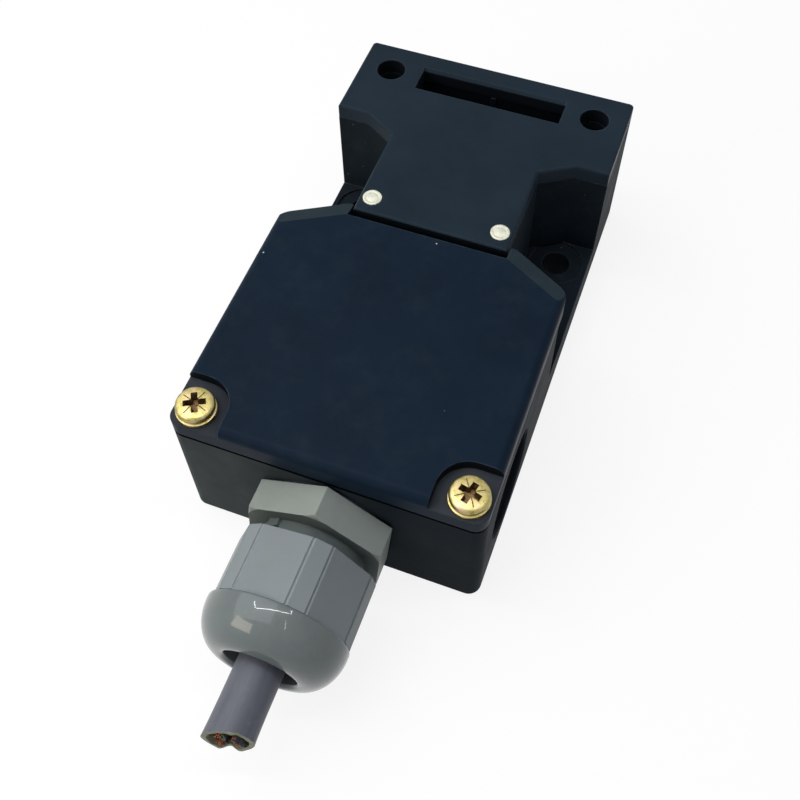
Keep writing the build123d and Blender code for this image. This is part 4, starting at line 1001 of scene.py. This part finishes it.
@dataclass
class WiringCover:
    """The wiring cover with its gasket and the two captive screws."""

    joinery: Joinery
    edge: float = 0.16
    screw_x: float = 22.3
    screw_y: float = -79.9
    under: float = 25.4
    floor: float = 28.0
    crown: float = 30.0
    head_radius: float = 3.3
    head_height: float = 2.4
    shank_radius: float = 1.45
    shank_length: float = 12.5
    thread_pitch: float = 0.6
    arm_length: float = 4.0
    arm_width: float = 1.15
    recess_depth: float = 1.5
    tick_length: float = 4.9
    tick_width: float = 0.14
    tick_depth: float = 0.22
    well_width: float = 1.9
    turns: tuple[float, float] = (27.0, -14.0)

    def build(self) -> None:
        """Builds every piece of the cover."""
        joinery = self.joinery
        joinery.piece(
            zoned(joinery.copy_of("wiring_cover"), self.zone), "cover_shell",
            [Shop.COVER, Shop.SEAM_SHADE, Shop.POCKET, Shop.HOLLOW_SHADE, Shop.FACET_LIGHT], "housing_black",
            replaces=["wiring_cover"], body=Body.COVER, bevel=self.edge,
        )
        joinery.dress(Shop.RUBBER, "cover_gasket")
        for index, (side, turn) in enumerate(zip((-1, 1), self.turns), start=1):
            joinery.piece(
                self.head(side, turn), f"cover_screw_{index}",
                [Shop.YELLOW_ZINC, Shop.ZINC_RECESS], "yellow_zinc",
                replaces=["cover_screws"] if index == 1 else [], body=Body.COVER, sharp=38.0,
            )
            joinery.piece(
                self.thread(side), f"cover_screw_thread_{index}", [Shop.YELLOW_ZINC],
                "yellow_zinc", body=Body.COVER,
            )

    def zone(self, middle: Vector, normal: Vector) -> int:
        """Finds the zone of a face of the cover.

        Args:
            middle: The middle of the face.
            normal: The way that it faces.

        Returns:
            1, painted shade, on the underside, 2 on the floor of a screw pocket and 3, painted
            shade, on its wall, 4, painted light, on the sloping corners at the head end, 0
            elsewhere.
        """
        if middle.z < self.under + 0.1 and normal.z < -0.9:
            return 1
        if abs(middle.x) > 15.0 and middle.y < -73.0 and middle.z < self.crown - 0.3:
            if normal.z > 0.9 and abs(middle.z - self.floor) < 0.2:
                return 2
            wall = abs(normal.z) < 0.5 and middle.z > self.floor and abs(middle.x) < 25.7
            outward = normal.x * middle.x > 0.0 or normal.y < 0.0
            return 3 if wall and outward else 0
        sloping = 0.93 < normal.z < 0.9985 and middle.y > -44.0 and abs(middle.x) > 12.0
        return 4 if sloping else 0

    def head(self, side: int, turn: float) -> Mesh:
        """Makes a pan-head screw with a cross recess and four tick marks.

        Args:
            side: -1 for the left screw, 1 for the right one.
            turn: How far the recess is turned, in degrees.

        Returns:
            The screw.
        """
        centre = Vector((side * self.screw_x, self.screw_y, self.floor))
        radius, height = self.head_radius, self.head_height
        shank, tip = self.shank_radius, -self.shank_length
        shoulder, flank = (radius - 0.35, height - 0.22), (radius - 0.12, height - 0.75)
        profile = [
            (0.0, height), (1.2, height - 0.01), (2.2, height - 0.07), shoulder, flank,
            (radius - 0.20, 0.95), (radius - 0.45, 0.80), (radius - 0.02, 0.62),
            (radius, 0.06), (radius - 0.06, 0.0), (shank, 0.0), (shank, tip + 0.8),
            (shank - 0.5, tip), (0.0, tip),
        ]
        head = self.joinery.turned(profile, centre, OUT_OF_FRONT, 64, closed=False)
        for corner, size in ((shoulder, 0.30), (flank, 0.20)):
            self.joinery.rounded_ring(head, centre, OUT_OF_FRONT, corner, size, 4)
        arm = (self.arm_length, self.arm_width, self.recess_depth, 0.62)
        tick = (self.tick_length, self.tick_width, self.tick_depth, 0.95)
        well = (self.well_width, self.well_width, self.recess_depth, 0.7)
        cuts = ((0.0, arm), (90.0, arm), (45.0, tick), (135.0, tick), (45.0, well))
        return self.joinery.carved(
            head, [self.wedge(centre, turn + angle, *sizes) for angle, sizes in cuts]
        )

    def wedge(
        self, centre: Vector, turn: float, length: float, width: float, depth: float,
        narrowing: float, proud: float = 0.5,
    ) -> Mesh:
        """Makes a bar that narrows downwards, standing proud of the head.

        Args:
            centre: The middle of the head's seat.
            turn: Its direction, in degrees.
            length: Its length at the top.
            width: Its width at the top.
            depth: How deep it reaches.
            narrowing: The size at the bottom as a share of that at the top.
            proud: How far it stands out of the head.

        Returns:
            The bar.
        """
        mesh = bmesh.new()
        bmesh.ops.create_cube(mesh, size=1.0)
        bmesh.ops.scale(mesh, vec=(length, width, depth + proud), verts=mesh.verts)
        foot = [vertex for vertex in mesh.verts if vertex.co.z < 0]
        bmesh.ops.scale(mesh, vec=(narrowing, narrowing, 1.0), verts=foot)
        spin = Matrix.Rotation(math.radians(turn), 3, "Z")
        bmesh.ops.rotate(mesh, cent=(0, 0, 0), matrix=spin, verts=mesh.verts)
        middle = centre + Vector((0, 0, self.head_height - depth + (depth + proud) / 2))
        bmesh.ops.translate(mesh, vec=middle, verts=mesh.verts)
        bmesh.ops.scale(mesh, vec=(MM, MM, MM), verts=mesh.verts)
        return mesh

    def thread(self, side: int) -> Mesh:
        """Makes the screw thread round the lower part of the shank.

        Args:
            side: -1 for the left screw, 1 for the right one.

        Returns:
            The thread.
        """
        radius = self.shank_radius
        low = self.floor - self.shank_length + 1.0
        centre = Vector((side * self.screw_x, self.screw_y, low))
        profile = [(radius - 0.1, -0.18), (radius + 0.02, 0.0), (radius - 0.1, 0.18)]
        return self.joinery.coiled(profile, centre, OUT_OF_FRONT, self.thread_pitch, 12.0, 24)


@dataclass
class Gland:
    """The cable gland: body, cap nut, sealing ring and rubber sleeve."""

    joinery: Joinery
    axis_z: float = 12.8
    stem_y: float = -81.8
    stem_pitch: float = 1.5
    hex_front: float = -89.3
    hex_edge: float = 0.32
    grip_edge: float = 0.18
    dome_start: float = -102.8
    mouth: float = -110.0
    dome_radius: float = 11.7
    dome_land: float = 0.5
    dome_steps: int = 28
    dome_depth: float = 4.4
    mouth_radius: float = 5.9
    mouth_rim: float = 0.7
    mouth_steps: int = 6
    neck_span: float = 11.0
    sleeve_profile: Profile = (
        (3.80, 93.0), (6.15, 93.0), (6.15, 106.2), (5.60, 106.9), (5.00, 106.9),
        (4.75, 106.3), (4.35, 106.3), (4.10, 106.8), (3.80, 106.6),
    )

    def build(self) -> None:
        """Builds every piece of the gland."""
        joinery = self.joinery
        joinery.piece(
            zoned(joinery.copy_of("gland_body"), self.hex_zone), "gland_hex_body",
            [Shop.HEX_GREY, Shop.NECK_SHADE], "gland_grey",
            replaces=["gland_body"], bevel=self.hex_edge, segments=4,
        )
        joinery.piece(self.stem_thread(), "gland_entry_thread", [Shop.HEX_GREY], "gland_grey")
        joinery.piece(
            self.grip(), "cap_nut_grip", [Shop.NUT_GREY], "nut_grey",
            replaces=["gland_cap_nut"], bevel=self.grip_edge,
        )
        joinery.piece(self.dome(), "cap_nut_dome", [Shop.DOME_GREY], "nut_grey", sharp=40.0)
        joinery.dress(Shop.RUBBER, "gland_seal_ring")
        centre = Vector((0, 0, self.axis_z))
        joinery.piece(
            joinery.turned(self.sleeve_profile, centre, TO_CABLE, 64), "gland_sleeve",
            [Shop.RUBBER], "black_rubber", replaces=["gland_seal_insert"],
        )

    def hex_zone(self, middle: Vector, normal: Vector) -> int:
        """Finds the zone of a face of the gland's body.

        Args:
            middle: The middle of the face.
            normal: The way that it faces.

        Returns:
            1, painted shade, on the front of the hexagon and on the neck behind the nut, 0
            elsewhere.
        """
        spread = math.hypot(middle.x, middle.z - self.axis_z)
        on_front = normal.y < -0.9 and middle.y < self.hex_front + 0.1
        on_neck = middle.y < self.hex_front - 0.2 and spread < self.neck_span
        return 1 if on_front or on_neck else 0

    def stem_thread(self) -> Mesh:
        """Makes the thread on the end that screws into the housing."""
        profile = [(8.95, -0.45), (9.18, 0.0), (8.95, 0.45)]
        start = Vector((0, self.stem_y, self.axis_z))
        return self.joinery.coiled(profile, start, TO_HEAD, self.stem_pitch, 3.6, 64)

    def grip(self) -> Mesh:
        """Cuts the grooved grip from a copy of the nut, up to the dome.

        Returns:
            The grip.
        """
        mesh = self.joinery.copy_of("gland_cap_nut")
        bmesh.ops.bisect_plane(
            mesh,
            geom=list(mesh.verts) + list(mesh.edges) + list(mesh.faces),
            plane_co=(0, (self.dome_start + 0.02) * MM, 0),
            plane_no=(0, -1, 0),
            clear_outer=True,
            clear_inner=False,
        )
        return mesh

    def dome(self) -> Mesh:
        """Turns the smooth dome of the nut, with its rounded mouth.

        Returns:
            The dome.
        """
        start, mouth = -self.dome_start, -self.mouth
        radius, hole, rim = self.dome_radius, self.mouth_radius, self.mouth_rim
        width = radius - hole - rim
        length = mouth - start - self.dome_land
        profile = [(radius - 0.22, start - 0.05), (radius - 0.05, start + 0.02)]
        profile.append((radius, start + 0.12))
        for index in range(self.dome_steps + 1):
            angle = math.pi / 2 * index / self.dome_steps
            across = radius - width * (1 - math.cos(angle))
            profile.append((across, start + self.dome_land + length * math.sin(angle)))
        for index in range(1, self.mouth_steps + 1):
            angle = math.pi / 2 * index / self.mouth_steps
            inward, back = hole + rim * (1 - math.sin(angle)), mouth - rim * (1 - math.cos(angle))
            profile.append((inward, back))
        profile.append((hole, start + self.dome_depth))
        profile.append((radius - 2.0, start + self.dome_depth - 0.2))
        profile.append((radius - 2.0, start - 0.05))
        return self.joinery.turned(profile, Vector((0, 0, self.axis_z)), TO_CABLE, 128)


@dataclass
class CutCable:
    """The cable stub: sheath with a torn end, four cores and their copper strands."""

    joinery: Joinery
    axis_z: float = 12.8
    cut_y: float = -121.7
    cut_margin: float = 0.02
    cut_back: float = 0.85
    cut_slope: tuple[float, float] = (0.25, 0.12)
    torn_length: float = 6.5
    notch_depth: float = 0.7
    notch_angle: float = -1.62
    notch_width: float = 0.22
    inside_y: float = -75.0
    sheath_radius: float = 3.75
    sheath_wall: float = 0.75
    core_radius: float = 1.13
    core_ring: float = 1.70
    copper_radius: float = 0.62
    strand_radius: float = 0.13
    uneven_length: float = 3.0
    strand_length: float = 5.0
    strand_steps: int = 9
    bent_length: float = 1.8
    strands: int = 14
    inner_strands: int = 4
    strand_rings: tuple[float, float] = (0.24, 0.48)
    core_end_y: float = -72.0
    bare_end_y: float = -70.5
    bare_radius: float = 0.6
    seed: int = 7
    cores: tuple[Finish, ...] = (
        Shop.CORE_BLACK, Shop.CORE_GREEN, Shop.CORE_BROWN, Shop.CORE_GREY
    )

    def build(self) -> None:
        """Builds every piece of the cable stub."""
        joinery = self.joinery
        rng = random.Random(self.seed)
        joinery.piece(
            self.sheath(rng), "cable_sheath", [Shop.SHEATH, Shop.SHEATH_CUT], "cable_grey",
            replaces=["cable_jacket"], sharp=50.0,
        )
        for index, recipe in enumerate(self.cores):
            angle = math.radians(45 + 90 * index)
            x = self.core_ring * math.cos(angle)
            z = self.axis_z + self.core_ring * math.sin(angle)
            joinery.piece(
                self.core(rng, x, z, 0.15 + 0.35 * (index % 3)),
                f"core_insulation_{index + 1}", [recipe], "core_insulation",
                replaces=["cable_cores"] if index == 0 else [], sharp=50.0,
            )
            joinery.piece(
                self.strand_bundle(rng, x, z), f"core_strands_{index + 1}", [Shop.COPPER],
                "copper", replaces=["core_conductors"] if index == 0 else [],
            )

    def tube(
        self, outer: float, inner: float, x: float, z: float, low: float, high: float, steps: int
    ) -> Mesh:
        """Turns a tube along Y with extra rings near its cut end.

        Args:
            outer: The outer radius.
            inner: The inner radius.
            x: The axis's place along X.
            z: The axis's place along Z.
            low: The cut end.
            high: The other end.
            steps: The number of steps round.

        Returns:
            The tube.
        """
        rings = [low, low + 0.25, low + 0.6, low + 1.2, low + 2.4, low + 6.0, high]
        profile = [(outer, y) for y in rings] + [(inner, y) for y in reversed(rings)]
        return self.joinery.turned(profile, Vector((x, 0, z)), TO_HEAD, steps)

    def sheath(self, rng: random.Random) -> Mesh:
        """Makes the sheath, torn and dented at its cut end.

        Args:
            rng: The source of the unevenness.

        Returns:
            The sheath.
        """
        inner = self.sheath_radius - self.sheath_wall
        mesh = self.tube(
            self.sheath_radius, inner, 0.0, self.axis_z, self.cut_y, self.inside_y, 72
        )
        orders = (2, 3, 5, 8, 13)
        waves = [(order, rng.uniform(0, math.tau), rng.uniform(0.02, 0.06)) for order in orders]
        for vertex in mesh.verts:
            place = vertex.co / MM
            depth = place.y - self.cut_y
            if depth > self.torn_length:
                continue
            angle = math.atan2(place.z - self.axis_z, place.x)
            fade = max(0.0, 1 - depth / self.torn_length) ** 2
            ragged = sum(size * math.sin(order * angle + phase) for order, phase, size in waves)
            beside = (angle - self.notch_angle) / self.notch_width
            notch = self.notch_depth * math.exp(-(beside ** 2))
            squeeze = 1 + 0.035 * fade * math.cos(2 * angle + 0.6)
            place.x *= squeeze
            place.z = self.axis_z + (place.z - self.axis_z) * squeeze
            place.y += fade * (ragged + notch + self.slant(place.x, place.z))
            place.y = max(place.y, self.cut_y + self.cut_margin)
            vertex.co = place * MM
        return zoned(mesh, self.sheath_zone)

    def sheath_zone(self, middle: Vector, normal: Vector) -> int:
        """Finds the zone of a face of the sheath.

        Args:
            middle: The middle of the face.
            normal: The way that it faces, which isn't needed here.

        Returns:
            1 on the cut rim and just inside it, 0 elsewhere.
        """
        spread = math.hypot(middle.x, middle.z - self.axis_z)
        return 1 if middle.y < self.cut_y + 2.2 and spread < self.sheath_radius - 0.12 else 0

    def slant(self, x: float, z: float) -> float:
        """Returns how far the slanted cut lies back at a place."""
        across, upward = self.cut_slope
        return self.cut_back + across * x + upward * (z - self.axis_z)

    def core(self, rng: random.Random, x: float, z: float, back: float) -> Mesh:
        """Makes one core's insulation with an uneven end.

        Args:
            rng: The source of the unevenness.
            x: The core's place along X.
            z: The core's place along Z.
            back: How far it ends inside the sheath.

        Returns:
            The insulation.
        """
        low = self.cut_y + 0.10 + 0.4 * back + self.slant(x, z)
        mesh = self.tube(
            self.core_radius, self.copper_radius + 0.08, x, z, low, self.core_end_y, 28
        )
        tilt = rng.uniform(-0.25, 0.25), rng.uniform(-0.25, 0.25)
        for vertex in mesh.verts:
            place = vertex.co / MM
            depth = place.y - low
            if depth < self.uneven_length:
                fade = 1 - depth / self.uneven_length
                lean = tilt[0] * (place.x - x) + tilt[1] * (place.z - z)
                place.y += fade * (lean + rng.uniform(-0.05, 0.08))
                vertex.co = place * MM
        return mesh

    def strand_bundle(self, rng: random.Random, x: float, z: float) -> Mesh:
        """Makes the copper strands of one core, bent and cut unevenly.

        Args:
            rng: The source of the unevenness.
            x: The core's place along X.
            z: The core's place along Z.

        Returns:
            The strands in one mesh.
        """
        bundle = bmesh.new()
        for number in range(self.strands):
            near = number <= self.inner_strands
            ring = self.strand_rings[0 if near else 1] if number else 0.0
            share = self.inner_strands if near else self.strands - 1 - self.inner_strands
            turn = math.tau * number / share + rng.uniform(-0.2, 0.2)
            start = Vector((x + ring * math.cos(turn), 0, z + ring * math.sin(turn)))
            cut = self.cut_y + self.slant(x, z) + rng.uniform(-0.20, 0.45)
            tip = max(self.cut_y + 0.05, cut)
            bend = Vector((rng.uniform(-0.28, 0.28), 0, rng.uniform(-0.28, 0.28)))
            path = []
            for step in range(self.strand_steps + 1):
                depth = self.strand_length * (step / self.strand_steps) ** 1.6
                lean = max(0.0, 1 - depth / self.bent_length) ** 1.5
                path.append(start + bend * lean + Vector((0, tip + depth, 0)))
            self.joinery.wire(bundle, path, self.strand_radius, 7)
        inner = [Vector((x, self.core_end_y - 1.0, z)), Vector((x, self.bare_end_y, z))]
        self.joinery.wire(bundle, inner, self.bare_radius, 16)
        bmesh.ops.recalc_face_normals(bundle, faces=bundle.faces)
        return bundle


@dataclass
class Mechanism:
    """The parts under the plate and the cover: rotor, plunger, contacts and terminals."""

    joinery: Joinery
    spring_low: float = -33.5
    spring_high: float = -25.35
    rotor_z: float = 14.0
    coil_radius: float = 3.7
    wire_radius: float = 0.45
    wire_sides: int = 12
    turns: float = 4.0

    def build(self) -> None:
        """Dresses the nodes and builds the return spring."""
        dress = self.joinery.dress
        dress(Shop.ROTOR, "cam_rotor")
        dress(Shop.STEEL, "rotor_shaft")
        dress(Shop.ACETAL, "plunger", "contact_carrier")
        dress(Shop.SPRING, "contact_spring_1", "contact_spring_2")
        dress(Shop.BRASS, "contact_bridge_1", "contact_bridge_2")
        dress(Shop.BRASS, *(f"terminal_strip_{number}" for number in range(1, 5)))
        dress(Shop.TERMINAL, "clamp_washers", "terminal_screws")
        dress(Shop.BLOCK, "contact_block", "contact_block_lid")
        dress(Shop.INSERT_BRASS, "screw_inserts")
        spring = self.joinery.piece(
            self.spring(), "return_spring", [Shop.SPRING], "spring_steel",
            replaces=["plunger_spring"], body=None,
        )
        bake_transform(spring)

    def spring(self) -> Mesh:
        """Winds the return spring from round wire.

        Returns:
            The spring.
        """
        wire = self.wire_radius
        angles = [math.tau * index / self.wire_sides for index in range(self.wire_sides)]
        profile = [
            (self.coil_radius + wire * math.cos(angle), wire + wire * math.sin(angle))
            for angle in angles
        ]
        pitch = (self.spring_high - self.spring_low - 2 * wire) / self.turns
        centre = Vector((0, self.spring_low, self.rotor_z))
        return self.joinery.coiled(profile, centre, TO_HEAD, pitch, self.turns, 40)


@dataclass(frozen=True)
class Softbox:
    """A rectangular lamp, whose width runs along a given direction."""

    name: str
    place: Place
    aim: Place
    width: float
    height: float
    power: float
    colour: Colour = (1.0, 1.0, 1.0)
    along: Place = (1.0, 0.0, 0.0)

    def hang(self) -> None:
        """Puts the lamp in the scene."""
        data = bpy.data.lights.new(self.name, "AREA")
        data.shape = "RECTANGLE"
        data.size = self.width
        data.size_y = self.height
        data.energy = self.power
        data.color = self.colour
        back = (Vector(self.place) - Vector(self.aim)).normalized()
        side = Vector(self.along)
        side = (side - back * side.dot(back)).normalized()
        lamp = placed(self.name, data)
        lamp.location = self.place
        lamp.rotation_euler = Matrix((side, back.cross(side), back)).transposed().to_euler()


@dataclass
class Studio:
    """The floor, the lamps, the room's light and the camera."""

    focal_pixels: float = 1074.28
    sensor: float = 36.0
    centre_row: float = 350.9
    clip: tuple[float, float] = (0.01, 10.0)
    place: Place = (0.038198, -0.147475, 0.172079)
    right: Place = (0.937478, 0.347865, -0.011193)
    up: Place = (-0.284486, 0.784410, 0.551152)
    back: Place = (0.200507, -0.513508, 0.834330)
    floor_size: float = 3.0
    floor_drop: float = 0.0002
    floor_colour: Colour = (0.90, 0.90, 0.90)
    floor_glow: float = 0.86
    room_light: Colour = (0.155, 0.170, 0.192)
    lamps: tuple[Softbox, ...] = (
        Softbox("window", (-0.28, -0.06, 0.50), (0, -0.05, 0.01), 0.66, 0.60, 2.35),
        Softbox(
            "warm_wall", (-0.30, -0.40, 0.27), (0, -0.09, 0.01), 0.26, 0.20, 0.9,
            (1.0, 0.92, 0.74),
        ),
        Softbox(
            "ceiling_strip", (-0.023, -0.067, 0.497), (0, -0.08, 0.01), 0.44, 0.011, 0.62,
            along=(0.434, 0.115, 0.0),
        ),
        Softbox(
            "strip_left_end", (-0.259, -0.070, 0.447), (0, -0.08, 0.01), 0.11, 0.010, 0.15,
            along=(-0.038, 0.11, -0.03),
        ),
        Softbox(
            "strip_right_end", (0.188, 0.015, 0.472), (0, -0.08, 0.01), 0.05, 0.010, 0.08,
            along=(-0.012, 0.048, 0.0),
        ),
        Softbox(
            "door_gap", (0.185, -0.212, 0.470), (0, -0.09, 0.01), 0.15, 0.008, 0.06,
            (1.0, 0.95, 0.82), (0.034, -0.153, 0),
        ),
    )

    def build(self) -> None:
        """Sets up everything that isn't part of the object."""
        for lamp in self.lamps:
            lamp.hang()
        self.lay_floor()
        self.light_room()
        self.place_camera()
        bpy.context.scene.view_settings.view_transform = "Standard"

    def lay_floor(self) -> None:
        """Lays a white floor that keeps a soft shadow."""
        mesh = bmesh.new()
        bmesh.ops.create_grid(mesh, x_segments=4, y_segments=4, size=self.floor_size / 2)
        bmesh.ops.translate(mesh, vec=(0, 0, -self.floor_drop), verts=mesh.verts)
        floor = object_of(mesh, "floor")
        tree = NodeTree(bpy.data.materials.new("white_floor"))
        tree.tree.nodes.clear()
        matt = tree.node("BsdfDiffuse", {"Color": (*self.floor_colour, 1.0)})
        glow = tree.node("Emission", {"Strength": 1.0})
        self.seen_through(tree, "OutputMaterial", self.floor_glow, matt, glow)
        floor.data.materials.append(tree.owner)

    def light_room(self) -> None:
        """Gives the room an even light and a white background."""
        world = bpy.data.worlds.new("room")
        bpy.context.scene.world = world
        tree = NodeTree(world)
        tree.tree.nodes.clear()
        even = tree.node("Background", {"Color": (*self.room_light, 1.0)})
        white = tree.node("Background", {"Color": (1.0, 1.0, 1.0, 1.0)})
        self.seen_through(tree, "OutputWorld", 1.0, even, white)

    def seen_through(
        self, tree: NodeTree, output: str, share: float,
        lighting: bpy.types.Node, sight: bpy.types.Node,
    ) -> None:
        """Gives direct, mirrored and transmitted sight another shader than lighting has.

        Args:
            tree: The nodes of the floor or of the room.
            output: The type of its output node.
            share: How much of the second shader those rays see.
            lighting: The shader that lights the object.
            sight: The shader that is seen.
        """
        path = tree.node("LightPath", {}).outputs
        either = path["Is Camera Ray"]
        for name in ("Is Glossy Ray", "Is Transmission Ray"):
            either = tree.math("MAXIMUM", either, path[name])
        share_seen = tree.math("MULTIPLY", either, share)
        mix = tree.node("MixShader", {0: share_seen, 1: lighting.outputs[0], 2: sight.outputs[0]})
        tree.node(output, {"Surface": mix.outputs["Shader"]})

    def place_camera(self) -> None:
        """Puts the camera where the photograph was taken from."""
        data = bpy.data.cameras.new("camera")
        data.sensor_width = self.sensor
        data.lens = self.focal_pixels / PHOTO_PIXELS * self.sensor
        data.shift_y = (self.centre_row - PHOTO_PIXELS / 2) / PHOTO_PIXELS
        data.clip_start, data.clip_end = self.clip
        camera = placed("camera", data)
        turn = Matrix((self.right, self.up, self.back)).transposed().to_4x4()
        camera.matrix_world = Matrix.Translation(self.place) @ turn
        bpy.context.scene.camera = camera


def main() -> None:
    """Builds the sub-assemblies in order and reports on them."""
    logging.basicConfig(level=logging.INFO, format="%(name)s %(message)s")
    joinery = Joinery(Shop())
    Studio().build()
    for assembly in (Housing, WiringCover, Gland, CutCable, Mechanism):
        LOG.info("building %s", assembly.__name__)
        assembly(joinery).build()
    LOG.info("%d pieces made", joinery.count)


if __name__ == "__main__":
    main()
